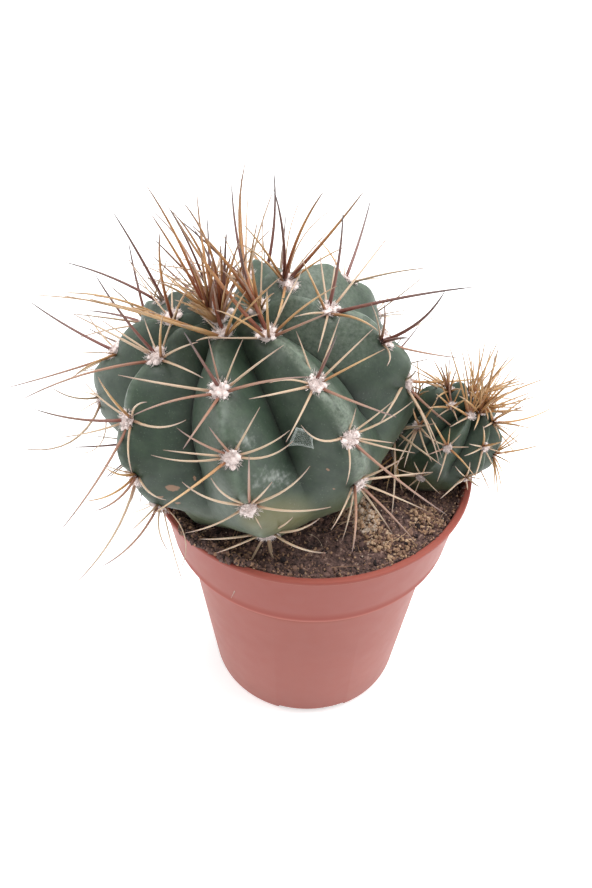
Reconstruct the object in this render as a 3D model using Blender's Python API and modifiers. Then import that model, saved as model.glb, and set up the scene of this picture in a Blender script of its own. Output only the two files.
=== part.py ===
"""A young turk's cap cactus with one offset, in a small plastic nursery pot.

Metres, +Z up. The origin is the middle of the pot's underside. Four pieces: the pot, the soil
in it, the main stem and the offset, each stem with its areoles and spines grown on it.
"""

import random
from math import acos, atan2, cos, degrees, exp, hypot, pi, radians, sin, sqrt

import bmesh
import bpy
from mathutils import Matrix, Vector, noise

# Pot: a thin moulded shell with a collar below its rim and a flat base
RIM_RADIUS = 0.0425
POT_HEIGHT = 0.078
LIP_WIDTH = 0.0013
LIP_HEIGHT = 0.0012
COLLAR_HEIGHT = 0.021
COLLAR_FOOT_RADIUS = 0.0382
STEP_HEIGHT = 0.0015
BODY_TOP_RADIUS = 0.0347
BASE_RADIUS = 0.0276
BASE_ROUNDING = 0.0025
WALL = 0.0009
FLOOR = 0.0012
FOOT_THICKNESS = 0.0022
FOOT_INNER_RADIUS = 0.016
POT_SIDES = 48

# Drainage: notches under the base, each with a hole
NOTCHES = 4
NOTCH_HEIGHT = 0.0016
NOTCH_HALF_WIDTH = radians(21)
NOTCH_INNER_RADIUS = 0.0185
FIRST_NOTCH = radians(-85)
DRAIN_RADIUS = 0.003
DRAIN_RING_RADIUS = 0.0212
DRAIN_SIDES = 12
CUTTER_MARGIN = 0.004

# Soil: it fills the pot to a little below the rim, with clods and one low heap on it
SOIL_LEVEL = 0.0750
SOIL_GAP = 0.0003
SOIL_RINGS = 7
SOIL_SIDES = 36
CLOD_SIZE = 0.0055
CLOD_HEIGHT = 0.0013
HEAP_AT = (0.018, -0.016)
HEAP_RADIUS = 0.010
HEAP_HEIGHT = 0.0016

# What touches without being fused keeps this gap
FIT_GAP = 0.00045

# Main stem: where each rib runs, as its azimuth at the crown and at the base, and its areoles,
# as the angle of the first one from the crown and the step to the next
MAIN = dict(
    name="main_stem",
    centre=(-0.0160, 0.0, 0.1020),
    tilt=(-0.24, 0.0),
    radius=0.0392,
    top=0.0272,
    bottom=0.0350,
    root=0.010,
    dip=0.0040,
    squeeze=0.19,
    squeezed_side=180,
    slump=0.17,
    slumped_side=108,
    furrow=0.25,
    crenation=0.0011,
    ribs=(
        (-218, -218, 9.0, 28.0),
        (-184, -180, 20.5, 30.0),
        (-148, -126, 3.4, 27.5),
        (-93, -88, 13.5, 27.3),
        (-50, -49, 24.0, 28.1),
        (-6, -8, 11.0, 27.1),
        (44, 31, 32.4, 28.0),
        (76, 80, 22.0, 28.0),
        (112, 112, 12.0, 28.0),
    ),
    faces_per_rib=6,
    rings=22,
    areole=0.0021,
    spine_scale=1.0,
    radials=6,
    seed=7,
)

# Offset: a smaller head of the same plant, leaning out over the rim
OFFSET = dict(
    name="offset_stem",
    centre=(0.0343, -0.0005, 0.0880),
    tilt=(0.58, 0.05),
    radius=0.0132,
    top=0.0138,
    bottom=0.0170,
    root=0.004,
    dip=0.0012,
    squeeze=0.24,
    squeezed_side=0,
    slump=0.0,
    slumped_side=0,
    furrow=0.24,
    crenation=0.0006,
    ribs=(
        (-112, -110, 27.0, 44.0),
        (-68, -58, 12.0, 42.0),
        (-22, -18, 30.0, 42.0),
        (24, 24, 14.0, 42.0),
        (68, 68, 32.0, 42.0),
        (112, 112, 12.0, 42.0),
        (157, 157, 34.0, 42.0),
        (210, 203, 36.0, 43.0),
    ),
    faces_per_rib=4,
    rings=14,
    areole=0.0012,
    spine_scale=0.56,
    radials=4,
    seed=21,
)

# Ribs, with angles in degrees from the crown: how blunt a crest is, how straight its flanks
# are, where the furrows open and fade, and where a stem is pressed in above the pot's rim
CREST_BLUNTNESS = 0.2
FLANK_STRAIGHTNESS = 0.65
FURROW_OPENS_BY = 30
FURROW_FADES = (84, 30)
FURROW_LOST_AT_BASE = 0.90
CRENATION_STARTS = (6, 14)
CRENATION_ENDS = (140, 25)
PRESSED = (82, 34)
SLUMP_WIDTH = 26
ROOT_BEGINS = (140, 40)
DIP_WIDTH = 20
LAST_TABLED_ANGLE = 120

# Spines: needles with a curved shaft, radials round each areole and longer centrals in its
# middle. Young areoles, near the crown, have steeper radials and longer centrals.
YOUNG_WITHIN = 32
RADIAL_UP = 0.013
RADIAL_SIDE = 0.022
RADIAL_DOWN = 0.019
RADIAL_LIFT = 17
RADIAL_LIFT_YOUNG = 42
CENTRAL_OLD = 0.022
CENTRAL_YOUNG = 0.038
CENTRAL_LIFT = 48
CENTRAL_LIFT_YOUNG = 14
SECOND_CENTRAL_WITHIN = 60
RADIAL_RADIUS = 0.00040
CENTRAL_RADIUS = 0.00055
SHOULDER_AT = 0.55
SHOULDER_TAPER = 0.62
SPINE_BOW = 0.06
SPINE_ROOT = 0.0009
SPINE_CLEARANCE = 0.0014
RIM_CLEARANCE = 0.001
SOIL_CLEARANCE = 0.002
LIFT_TRIES = 4
LIFT_STEP = 14
LAST_AREOLE = 125.0
LOWEST_AREOLE = SOIL_LEVEL + 0.0045


def clear_scene():
    for obj in list(bpy.data.objects):
        bpy.data.objects.remove(obj, do_unlink=True)


def new_collection(name):
    collection = bpy.data.collections.new(name)
    bpy.context.scene.collection.children.link(collection)
    return collection


def material(name, colour, roughness, metallic=0.0):
    made = bpy.data.materials.new(name)
    made.use_nodes = True
    shader = made.node_tree.nodes["Principled BSDF"]
    shader.inputs["Base Color"].default_value = (*colour, 1.0)
    shader.inputs["Roughness"].default_value = roughness
    shader.inputs["Metallic"].default_value = metallic
    return made


def object_from_bmesh(name, bm, collection, surface=None):
    mesh = bpy.data.meshes.new(name)
    bm.to_mesh(mesh)
    bm.free()
    obj = bpy.data.objects.new(name, mesh)
    collection.objects.link(obj)
    if surface:
        mesh.materials.append(surface)
    return obj


def apply_modifiers(obj):
    """Replaces the object's mesh by the evaluated one and drops its modifiers."""
    graph = bpy.context.evaluated_depsgraph_get()
    mesh = bpy.data.meshes.new_from_object(obj.evaluated_get(graph))
    obj.modifiers.clear()
    obj.data = mesh


def keep_outer_shell(obj):
    """Keeps the largest connected shell: small hollows sealed by the union fill, scraps go."""
    bm = bmesh.new()
    bm.from_mesh(obj.data)
    shells = []
    unseen = set(bm.verts)
    while unseen:
        shell = [unseen.pop()]
        for vert in shell:
            for edge in vert.link_edges:
                near = edge.other_vert(vert)
                if near in unseen:
                    unseen.remove(near)
                    shell.append(near)
        shells.append(shell)
    shells.sort(key=len)
    for shell in shells[:-1]:
        bmesh.ops.delete(bm, geom=shell, context="VERTS")
    bm.to_mesh(obj.data)
    bm.free()


def cut(obj, cutter, solver="EXACT"):
    cutter.hide_render = True
    cutter.display_type = "WIRE"
    boolean = obj.modifiers.new("cut " + cutter.name, "BOOLEAN")
    boolean.operation = "DIFFERENCE"
    boolean.solver = solver
    boolean.object = cutter


def turned(name, profile, sides, collection, surface):
    """A solid of revolution from (radius, height) points that run down its outer side."""
    bm = bmesh.new()
    points = [bm.verts.new((radius, 0.0, height)) for radius, height in profile]
    for first, second in zip(points, points[1:]):
        bm.edges.new((first, second))
    obj = object_from_bmesh(name, bm, collection, surface)
    screw = obj.modifiers.new("turn", "SCREW")
    screw.steps = sides
    screw.render_steps = sides
    screw.use_merge_vertices = True
    screw.merge_threshold = 0.00005
    return obj


def pot_wall():
    """Outer (radius, height) points of the pot from under its lip down to the base."""
    under_lip = POT_HEIGHT - LIP_HEIGHT
    points = [
        (RIM_RADIUS, POT_HEIGHT - 0.3 * LIP_HEIGHT),
        (RIM_RADIUS, under_lip + 0.2 * LIP_HEIGHT),
        (RIM_RADIUS - LIP_WIDTH, under_lip),
        (COLLAR_FOOT_RADIUS, POT_HEIGHT - COLLAR_HEIGHT),
        (BODY_TOP_RADIUS, POT_HEIGHT - COLLAR_HEIGHT - STEP_HEIGHT),
    ]
    for step in range(4):
        turn = radians(30 * step)
        points.append((
            BASE_RADIUS - BASE_ROUNDING * (1 - cos(turn)),
            BASE_ROUNDING * (1 - sin(turn)),
        ))
    return points


def pot_inside():
    """Inner (radius, height) points of the pot from its floor up to the rim."""
    slope = (BODY_TOP_RADIUS - BASE_RADIUS) / (POT_HEIGHT - COLLAR_HEIGHT)
    return [
        (FOOT_INNER_RADIUS, FLOOR),
        (FOOT_INNER_RADIUS + FOOT_THICKNESS - FLOOR, FOOT_THICKNESS),
        (BASE_RADIUS - BASE_ROUNDING, FOOT_THICKNESS),
        (BASE_RADIUS - WALL + 2 * BASE_ROUNDING * slope, 2 * BASE_ROUNDING),
        (BODY_TOP_RADIUS - WALL, POT_HEIGHT - COLLAR_HEIGHT - STEP_HEIGHT + WALL),
        (COLLAR_FOOT_RADIUS - WALL, POT_HEIGHT - COLLAR_HEIGHT + WALL),
        (RIM_RADIUS - LIP_WIDTH - WALL, POT_HEIGHT - 0.3 * LIP_HEIGHT),
        (RIM_RADIUS - LIP_WIDTH - 0.4 * WALL, POT_HEIGHT),
        (RIM_RADIUS - 0.3 * LIP_WIDTH, POT_HEIGHT),
    ]


def notch_cutter(turn, cutters):
    """A sector block that lifts the base's edge off the table over one notch."""
    bm = bmesh.new()
    outer = (BASE_RADIUS + CUTTER_MARGIN) / cos(NOTCH_HALF_WIDTH)
    made = bmesh.ops.create_cube(bm, size=1.0)
    for vert in made["verts"]:
        radius = outer if vert.co.x > 0 else NOTCH_INNER_RADIUS
        angle = NOTCH_HALF_WIDTH if vert.co.y > 0 else -NOTCH_HALF_WIDTH
        height = NOTCH_HEIGHT if vert.co.z > 0 else -CUTTER_MARGIN
        vert.co = (radius * cos(turn + angle), radius * sin(turn + angle), height)
    return object_from_bmesh("notch cutter", bm, cutters)


def drain_cutter(turn, cutters):
    bm = bmesh.new()
    at = Matrix.Translation((DRAIN_RING_RADIUS * cos(turn), DRAIN_RING_RADIUS * sin(turn), 0))
    bmesh.ops.create_cone(
        bm, cap_ends=True, segments=DRAIN_SIDES, radius1=DRAIN_RADIUS, radius2=DRAIN_RADIUS,
        depth=2 * CUTTER_MARGIN, matrix=at,
    )
    return object_from_bmesh("drain cutter", bm, cutters)


def make_pot(parts, cutters):
    plastic = material("pot plastic", (0.47, 0.17, 0.14), 0.42)
    profile = [(0.0, FLOOR)] + pot_inside() + pot_wall() + [(0.0, 0.0)]
    pot = turned("pot", profile, POT_SIDES, parts, plastic)
    for index in range(NOTCHES):
        turn = FIRST_NOTCH + index * 2 * pi / NOTCHES
        cut(pot, notch_cutter(turn, cutters))
        cut(pot, drain_cutter(turn, cutters))


def axes_of(tilt):
    """Columns of a stem's own frame: its z leans by tilt, its x stays level in y."""
    up = Vector((tilt[0], tilt[1], 1.0)).normalized()
    right = Vector((0.0, 1.0, 0.0)).cross(up).normalized()
    return Matrix((right, up.cross(right), up)).transposed()


def smooth(value):
    value = min(max(value, 0.0), 1.0)
    return value * value * (3 - 2 * value)


def past(theta, span):
    """0 before the span's start and 1 past its width, both in degrees from the crown."""
    start, width = span
    return smooth((theta - start) / width)


def rib_azimuth(stem, index, theta):
    """Azimuth in degrees of a rib's crest; past the last rib the count goes on round the stem."""
    turns, rib = divmod(index, len(stem["ribs"]))
    crown, base = stem["ribs"][rib][:2]
    return crown + (base - crown) * theta / LAST_TABLED_ANGLE + 360 * turns


def flank(across):
    """Depth across half a rib: 0 on its rounded crest, 1 in the sharp furrow."""
    blunt = CREST_BLUNTNESS
    straight = (sqrt(across * across + blunt * blunt) - blunt) / (sqrt(1 + blunt * blunt) - blunt)
    return FLANK_STRAIGHTNESS * straight + (1 - FLANK_STRAIGHTNESS) * across * across


def crest_swell(stem, rib, theta):
    """How far the crest stands out between two areoles; zero at each areole."""
    first, step = stem["ribs"][rib % len(stem["ribs"])][2:]
    end, width = CRENATION_ENDS
    fade = past(theta, CRENATION_STARTS) * smooth((end - theta) / width)
    return stem["crenation"] * fade * (1 - cos(2 * pi * (theta - first) / step))


def stem_point(stem, theta, rib, across):
    """A point of the ribbed skin. rib + across runs round the stem: across 0 and 1 are crests."""
    half = 2 * min(across, 1 - across)
    azimuth = radians(
        (1 - across) * rib_azimuth(stem, rib, theta) + across * rib_azimuth(stem, rib + 1, theta)
    )
    angle = radians(theta)
    kept = 1 - FURROW_LOST_AT_BASE * past(theta, FURROW_FADES)
    depth = stem["furrow"] * smooth(theta / FURROW_OPENS_BY) * kept
    shrink = 1 - depth * flank(half)
    facing = max(cos(azimuth - radians(stem["squeezed_side"])), 0.0)
    pressed = 1 - stem["squeeze"] * facing * past(theta, PRESSED)
    apart = (degrees(azimuth) - stem["slumped_side"] + 180) % 360 - 180
    slumped = 1 - stem["slump"] * exp(-((apart / SLUMP_WIDTH) ** 2)) * smooth(theta / 25)
    nearest = rib if across < 0.5 else rib + 1
    swell = crest_swell(stem, nearest, theta) * (1 - half) ** 2
    height = stem["top"] if theta < 90 else stem["bottom"]
    out = stem["radius"] * sin(angle) * shrink * pressed * slumped + swell * sin(angle)
    up = height * cos(angle) * shrink * slumped + swell * cos(angle)
    up -= stem["dip"] * exp(-((theta / DIP_WIDTH) ** 2))
    up -= stem["root"] * past(theta, ROOT_BEGINS)
    local = Vector((out * cos(azimuth), out * sin(azimuth), up))
    return axes_of(stem["tilt"]) @ local + Vector(stem["centre"])


def stem_skin(stem, name, collection, grow=0.0):
    """The ribbed body: a sphere whose columns are moved onto the ribs, flanks and furrows."""
    count = len(stem["ribs"]) * stem["faces_per_rib"]
    bm = bmesh.new()
    bmesh.ops.create_uvsphere(bm, u_segments=count, v_segments=stem["rings"], radius=1.0)
    for vert in bm.verts:
        theta = degrees(acos(min(max(vert.co.z, -1.0), 1.0)))
        column = round(atan2(vert.co.y, vert.co.x) / (2 * pi) * count) % count
        rib, face = divmod(column, stem["faces_per_rib"])
        vert.co = stem_point(stem, theta, rib, face / stem["faces_per_rib"])
    bmesh.ops.triangulate(bm, faces=bm.faces, quad_method="FIXED")
    bm.normal_update()
    normals = [vert.normal.copy() for vert in bm.verts]
    for vert, normal in zip(bm.verts, normals):
        vert.co += normal * grow
    return object_from_bmesh(name, bm, collection)


def areoles(stem):
    """Each areole's angle from the crown, its point, and the directions out, up and right."""
    found = []
    for rib, (_, _, first, step) in enumerate(stem["ribs"]):
        theta = first
        while theta < LAST_AREOLE:
            point = stem_point(stem, theta, rib, 0.0)
            above = stem_point(stem, max(theta - 3, 0.5), rib, 0.0)
            below = stem_point(stem, theta + 3, rib, 0.0)
            up = (above - below).normalized()
            side = stem_point(stem, theta, rib, 0.02) - stem_point(stem, theta, rib - 1, 0.98)
            out = up.cross(side).normalized()
            if out.dot(point - Vector(stem["centre"])) < 0:
                out = -out
            if point.z > LOWEST_AREOLE:
                found.append((theta, point, out, up, up.cross(out)))
            theta += step
    return found


def spine_plan(stem, theta, draw):
    """(clock angle, lift, length, radius) of each spine on one areole; clock 0 points at the crown."""
    young = exp(-theta / YOUNG_WITHIN)
    plan = []
    for index in range(stem["radials"]):
        clock = 360 * (index + 0.5) / stem["radials"] + draw.uniform(-12, 12)
        lift = RADIAL_LIFT + RADIAL_LIFT_YOUNG * young + draw.uniform(-5, 5)
        upward = 0.5 + 0.5 * cos(radians(clock))
        sideways = abs(sin(radians(clock)))
        level = upward * RADIAL_UP + (1 - upward) * RADIAL_DOWN
        length = level + (RADIAL_SIDE - level) * sideways
        plan.append((clock, lift, length * draw.uniform(0.85, 1.15), RADIAL_RADIUS))
    lift = CENTRAL_LIFT + CENTRAL_LIFT_YOUNG * young
    length = CENTRAL_OLD + (CENTRAL_YOUNG - CENTRAL_OLD) * young
    plan.append((draw.uniform(-22, 22), lift, length * draw.uniform(0.9, 1.1), CENTRAL_RADIUS))
    if theta < SECOND_CENTRAL_WITHIN:
        lift = CENTRAL_LIFT + CENTRAL_LIFT_YOUNG
        plan.append((draw.uniform(60, 300), lift, 0.8 * length, CENTRAL_RADIUS * 0.9))
    return plan


def spine_path(stem, areole, plan):
    """Root, shoulder and tip of one spine: it bows a little away from the skin."""
    theta, point, out, up, right = areole
    clock, lift, length, radius = plan
    length *= stem["spine_scale"]
    along = cos(radians(clock)) * up + sin(radians(clock)) * right
    aim = cos(radians(lift)) * along + sin(radians(lift)) * out
    bow = SPINE_BOW * length * (out - aim * out.dot(aim))
    root = point - out * SPINE_ROOT * sqrt(stem["spine_scale"])
    return root, point + aim * length * SHOULDER_AT + bow, point + aim * length


def points_along(path, count):
    """Evenly spaced points on a spine, root left out."""
    root, shoulder, tip = path
    for step in range(1, count + 1):
        share = step / count
        if share < SHOULDER_AT:
            yield share, root.lerp(shoulder, share / SHOULDER_AT)
        else:
            yield share, shoulder.lerp(tip, (share - SHOULDER_AT) / (1 - SHOULDER_AT))


def clear_of_pot(path):
    """True where the spine stays above the soil and off the pot's wall."""
    wall_starts = RIM_RADIUS - LIP_WIDTH - WALL - SOIL_CLEARANCE
    for share, at in points_along(path, 12):
        radius = hypot(at.x, at.y)
        if share < 0.15 or radius > RIM_RADIUS + RIM_CLEARANCE:
            continue
        if radius < wall_starts and at.z < SOIL_LEVEL + CLOD_HEIGHT + SOIL_CLEARANCE:
            return False
        if radius >= wall_starts and at.z < POT_HEIGHT + RIM_CLEARANCE:
            return False
    return True


def clear_of_stem(path, other):
    """True where the spine stays outside the other stem's rounded outline."""
    inward = axes_of(other["tilt"]).transposed()
    reach = other["radius"] + 2 * other["crenation"] + SPINE_CLEARANCE
    for _, at in points_along(path, 16):
        local = inward @ (at - Vector(other["centre"]))
        height = (other["top"] if local.z > 0 else other["bottom"]) + SPINE_CLEARANCE
        if hypot(local.x / reach, local.y / reach, local.z / height) < 1:
            return False
    return True


def gap_between(first, second):
    """Smallest distance between two straight pieces, each given by its two ends."""
    start, end = first
    other_start, other_end = second
    along = end - start
    other = other_end - other_start
    offset = start - other_start
    a, b, c = along.dot(along), along.dot(other), other.dot(other)
    d, e = along.dot(offset), other.dot(offset)
    flat = a * c - b * b
    s = min(max((b * e - c * d) / flat, 0.0), 1.0) if flat > 1e-16 else 0.0
    t = min(max((b * s + e) / c, 0.0), 1.0)
    s = min(max((b * t - d) / a, 0.0), 1.0)
    return (offset + along * s - other * t).length


def clear_of_spines(path, others):
    """True where no spine of the other stem comes within the clearance."""
    for other in others:
        for first in zip(path, path[1:]):
            for second in zip(other, other[1:]):
                if gap_between(first, second) < SPINE_CLEARANCE:
                    return False
    return True


def spine_paths(stem, other, taken):
    """Each spine's path and radius: those clear of the pot, soil, other stem and its spines.

    A spine that isn't clear is lifted step by step, and left out if that doesn't free it.
    """
    draw = random.Random(stem["seed"])
    found = []
    for areole in areoles(stem):
        for clock, lift, length, radius in spine_plan(stem, areole[0], draw):
            for attempt in range(LIFT_TRIES):
                path = spine_path(stem, areole, (clock, lift + LIFT_STEP * attempt, length, radius))
                if not clear_of_pot(path) or not clear_of_stem(path, other):
                    continue
                if clear_of_spines(path, taken):
                    found.append((path, radius * sqrt(stem["spine_scale"])))
                    break
    return found


def spine_object(path, radius, collection):
    """A three-sided needle: a frustum up to its shoulder, then a point."""
    root, shoulder, tip = path
    shaft = shoulder - root
    turn = shaft.to_track_quat("Z", "Y").to_matrix().to_4x4()
    bm = bmesh.new()
    bmesh.ops.create_cone(
        bm, cap_ends=True, segments=3, radius1=radius, radius2=radius * SHOULDER_TAPER,
        depth=shaft.length, matrix=Matrix.Translation((root + shoulder) / 2) @ turn,
    )
    end = max(bm.faces, key=lambda face: face.calc_center_median().dot(shaft))
    poked = bmesh.ops.poke(bm, faces=[end])
    poked["verts"][0].co = tip
    return object_from_bmesh("spine", bm, collection)


def areole_object(stem, areole, collection):
    """The low felted cushion that the spines grow from; those at the crown are smaller."""
    theta, point, out, up, right = areole
    size = stem["areole"] * (0.75 if theta < 16 else 1.0)
    turn = Matrix((right, up, out)).transposed().to_4x4()
    bm = bmesh.new()
    bmesh.ops.create_cone(
        bm, cap_ends=True, segments=6, radius1=size, radius2=size * 0.6, depth=size * 0.9,
        matrix=Matrix.Translation(point - out * size * 0.05) @ turn,
    )
    return object_from_bmesh("areole", bm, collection)


def make_stem(stem, other, taken, parts):
    """One head: its ribbed skin with the areoles and spines fused on. Returns the spine paths."""
    skin = material(stem["name"] + " skin", (0.10, 0.17, 0.12), 0.55)
    body = stem_skin(stem, stem["name"], parts)
    body.data.materials.append(skin)
    repeats = new_collection(stem["name"] + " repeats")
    for areole in areoles(stem):
        areole_object(stem, areole, repeats)
    paths = spine_paths(stem, other, taken)
    for path, radius in paths:
        spine_object(path, radius, repeats)
    union = body.modifiers.new("fuse", "BOOLEAN")
    union.operation = "UNION"
    union.solver = "MANIFOLD"
    union.operand_type = "COLLECTION"
    union.collection = repeats
    apply_modifiers(body)
    keep_outer_shell(body)
    for obj in list(repeats.objects):
        bpy.data.objects.remove(obj, do_unlink=True)
    bpy.data.collections.remove(repeats)
    return [path for path, radius in paths]


def soil_height(x, y):
    """Lumpy top of the soil: small clods, and a low heap between the two stems."""
    clods = noise.noise(Vector((x, y, 0.0)) / CLOD_SIZE)
    broad = noise.noise(Vector((x + 0.5, y, 0.0)) / (4 * CLOD_SIZE))
    heap = exp(-(hypot(x - HEAP_AT[0], y - HEAP_AT[1]) / HEAP_RADIUS) ** 2)
    return SOIL_LEVEL + CLOD_HEIGHT * (0.6 * clods + 0.7 * broad) + HEAP_HEIGHT * heap


def make_soil(parts, cutters):
    earth = material("soil", (0.055, 0.038, 0.030), 0.95)
    inside = [(radius - SOIL_GAP * 1.2, height) for radius, height in pot_inside()[:6]]
    top_radius = RIM_RADIUS - LIP_WIDTH - WALL - 3 * SOIL_GAP
    rings = [(top_radius * step / SOIL_RINGS, SOIL_LEVEL) for step in range(SOIL_RINGS + 1)]
    sides = [(radius, height + SOIL_GAP) for radius, height in reversed(inside)]
    profile = rings + sides + [(0.0, FLOOR + SOIL_GAP)]
    soil = turned("soil", profile, SOIL_SIDES, parts, earth)
    apply_modifiers(soil)
    for vert in soil.data.vertices:
        if vert.co.z > SOIL_LEVEL - 0.0001:
            vert.co.z = soil_height(vert.co.x, vert.co.y)
    for stem in (MAIN, OFFSET):
        hole = stem_skin(stem, stem["name"] + " hole", cutters, grow=FIT_GAP)
        cut(soil, hole, solver="MANIFOLD")


def main():
    clear_scene()
    parts = new_collection("potted turks cap cactus")
    cutters = new_collection("cutters")
    make_pot(parts, cutters)
    make_soil(parts, cutters)
    taken = make_stem(MAIN, OFFSET, [], parts)
    make_stem(OFFSET, MAIN, taken, parts)


main()
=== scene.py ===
"""The looks of the potted turk's cap cactus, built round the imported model. Metres, +Z up."""
import random
from math import acos, atan2, cos, degrees, exp, hypot, pi, radians, sin, sqrt

import bmesh
import bpy
from mathutils import Matrix, Vector, kdtree, noise
from mathutils.bvhtree import BVHTree


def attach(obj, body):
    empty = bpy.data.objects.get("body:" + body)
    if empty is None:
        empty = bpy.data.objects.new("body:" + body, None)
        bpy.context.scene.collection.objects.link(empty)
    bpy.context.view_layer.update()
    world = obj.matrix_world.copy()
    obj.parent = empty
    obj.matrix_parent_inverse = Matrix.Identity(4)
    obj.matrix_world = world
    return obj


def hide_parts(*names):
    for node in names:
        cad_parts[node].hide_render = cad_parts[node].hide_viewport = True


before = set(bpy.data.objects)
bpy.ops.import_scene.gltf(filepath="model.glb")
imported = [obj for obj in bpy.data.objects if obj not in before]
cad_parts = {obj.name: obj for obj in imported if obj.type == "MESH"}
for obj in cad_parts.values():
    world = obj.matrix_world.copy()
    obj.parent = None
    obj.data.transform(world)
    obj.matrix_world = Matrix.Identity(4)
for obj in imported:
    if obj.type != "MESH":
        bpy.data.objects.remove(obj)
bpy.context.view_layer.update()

# Studio: the pot stands on a plain white light table in a white room, under a large softbox,
# lit brightly enough to burn the background out to white. The camera looks down from the front.
FLOOR_RADIUS = 1.6
FLOOR_WHITE = (0.93, 0.93, 0.93, 1.0)
FLOOR_GLOW = 0.42
WHITE = (1.0, 1.0, 1.0, 1.0)
ROOM_STRENGTH = 0.70
STUDIO_LEVEL = 1.45
LIT_SPOT = Vector((0.0, 0.0, 0.08))
SOFTBOXES = (
    # name, place, width and power
    ("overhead_softbox", (0.12, 0.10, 1.0), 0.8, 11.0),
    ("side_softbox_right", (0.85, -0.05, 0.40), 0.6, 3.4),
    ("side_softbox_left", (-0.85, -0.05, 0.40), 0.6, 3.0),
)
LENS = 39.66
SENSOR = 36.0
PHOTO_WIDTH = 592
PHOTO_HEIGHT = 888
CAMERA_ELEVATION = radians(42.15)
CAMERA_ROLL = radians(1.56)
CAMERA_DISTANCE = 0.2578
CAMERA_TARGET = Vector((-0.0045, 0.0, 0.0836))


def colour(red, green, blue):
    """The surface colour that shows as these 0 to 255 screen values in this bright studio."""
    linear = []
    for value in (red, green, blue):
        share = value / 255
        level = share / 12.92 if share <= 0.04045 else ((share + 0.055) / 1.055) ** 2.4
        linear.append(level / STUDIO_LEVEL)
    return (*linear, 1.0)


def new_object(name, mesh, surface, smooth_shaded=True):
    """A new object in the scene with this mesh and material."""
    mesh.materials.append(surface)
    if smooth_shaded:
        mesh.shade_smooth()
    made = bpy.data.objects.new(name, mesh)
    bpy.context.scene.collection.objects.link(made)
    return made


def finished(name, bm, surface):
    """Makes the bmesh a new object with this material."""
    mesh = bpy.data.meshes.new(name)
    bm.to_mesh(mesh)
    bm.free()
    return new_object(name, mesh, surface)


def new_material(name):
    """A material with its Principled shader: (material, node tree, shader)."""
    made = bpy.data.materials.new(name)
    made.use_nodes = True
    return made, made.node_tree, made.node_tree.nodes["Principled BSDF"]


def set_inputs(node, inputs):
    """Gives inputs of a node, by name or number, a socket to link to or a constant."""
    for key, value in inputs.items():
        if hasattr(value, "links"):
            node.id_data.links.new(value, node.inputs[key])
        else:
            node.inputs[key].default_value = value


table_surface, _, shader = new_material("table_white")
set_inputs(shader, {
    "Base Color": FLOOR_WHITE,
    "Roughness": 0.7,
    "Emission Color": WHITE,
    "Emission Strength": FLOOR_GLOW,
})
bm = bmesh.new()
bmesh.ops.create_circle(bm, cap_ends=True, segments=64, radius=FLOOR_RADIUS)
table = finished("table_top", bm, table_surface)

room = bpy.data.worlds.new("white_room")
room.use_nodes = True
set_inputs(room.node_tree.nodes["Background"], {"Color": WHITE, "Strength": ROOM_STRENGTH})
bpy.context.scene.world = room
bpy.context.scene.view_settings.view_transform = "Standard"

for name, place, size, power in SOFTBOXES:
    lamp = bpy.data.lights.new(name, "AREA")
    lamp.shape = "DISK"
    lamp.size = size
    lamp.energy = power
    holder = bpy.data.objects.new(name, lamp)
    holder.location = place
    holder.rotation_euler = (LIT_SPOT - Vector(place)).to_track_quat("-Z", "Y").to_euler()
    bpy.context.scene.collection.objects.link(holder)

camera_back = Vector((0.0, -cos(CAMERA_ELEVATION), sin(CAMERA_ELEVATION)))
level_up = Vector((0.0, sin(CAMERA_ELEVATION), cos(CAMERA_ELEVATION)))
camera_right = cos(CAMERA_ROLL) * Vector((1, 0, 0)) + sin(CAMERA_ROLL) * level_up
camera_up = cos(CAMERA_ROLL) * level_up - sin(CAMERA_ROLL) * Vector((1, 0, 0))
camera_place = CAMERA_TARGET + camera_back * CAMERA_DISTANCE
camera_data = bpy.data.cameras.new("camera")
camera_data.sensor_width = SENSOR
camera_data.lens = LENS
camera_data.clip_start = 0.01
camera = bpy.data.objects.new("camera", camera_data)
bpy.context.scene.collection.objects.link(camera)
camera.matrix_world = (
    Matrix.Translation(camera_place)
    @ Matrix((camera_right, camera_up, camera_back)).transposed().to_4x4()
)
bpy.context.scene.camera = camera


def sight_line(pixel):
    """Unit direction from the camera through a pixel of the photograph."""
    focal = LENS / SENSOR * PHOTO_HEIGHT
    across = (pixel[0] - PHOTO_WIDTH / 2) / focal
    down = (pixel[1] - PHOTO_HEIGHT / 2) / focal
    return (camera_right * across - camera_up * down - camera_back).normalized()


def seen_pixel(place):
    """The pixel of the photograph at which a point is seen."""
    offset = place - camera_place
    scale = LENS / SENSOR * PHOTO_HEIGHT / -offset.dot(camera_back)
    return (
        PHOTO_WIDTH / 2 + offset.dot(camera_right) * scale,
        PHOTO_HEIGHT / 2 - offset.dot(camera_up) * scale,
    )


# Pot: a thin nursery pot, moulded in one piece from terracotta-pink polypropylene, with a
# small lip, a collar for stacking, a tapered body and a notched base with a hole per notch
RIM_RADIUS = 0.0425
POT_HEIGHT = 0.078
LIP_WIDTH = 0.0013
LIP_HEIGHT = 0.0012
COLLAR_HEIGHT = 0.021
COLLAR_FOOT_RADIUS = 0.0382
STEP_HEIGHT = 0.0015
BODY_TOP_RADIUS = 0.0347
BASE_RADIUS = 0.0276
BASE_ROUNDING = 0.0025
WALL = 0.0009
POT_FLOOR = 0.0012
FOOT_THICKNESS = 0.0022
FOOT_INNER_RADIUS = 0.016
COLLAR_FOOT = POT_HEIGHT - COLLAR_HEIGHT
BODY_TOP = COLLAR_FOOT - STEP_HEIGHT
POT_SIDES = 160
POT_SHARP_ANGLE = radians(40)
NOTCHES = 4
NOTCH_HEIGHT = 0.0026
NOTCH_HALF_WIDTH = radians(21)
NOTCH_INNER_RADIUS = 0.0185
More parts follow.
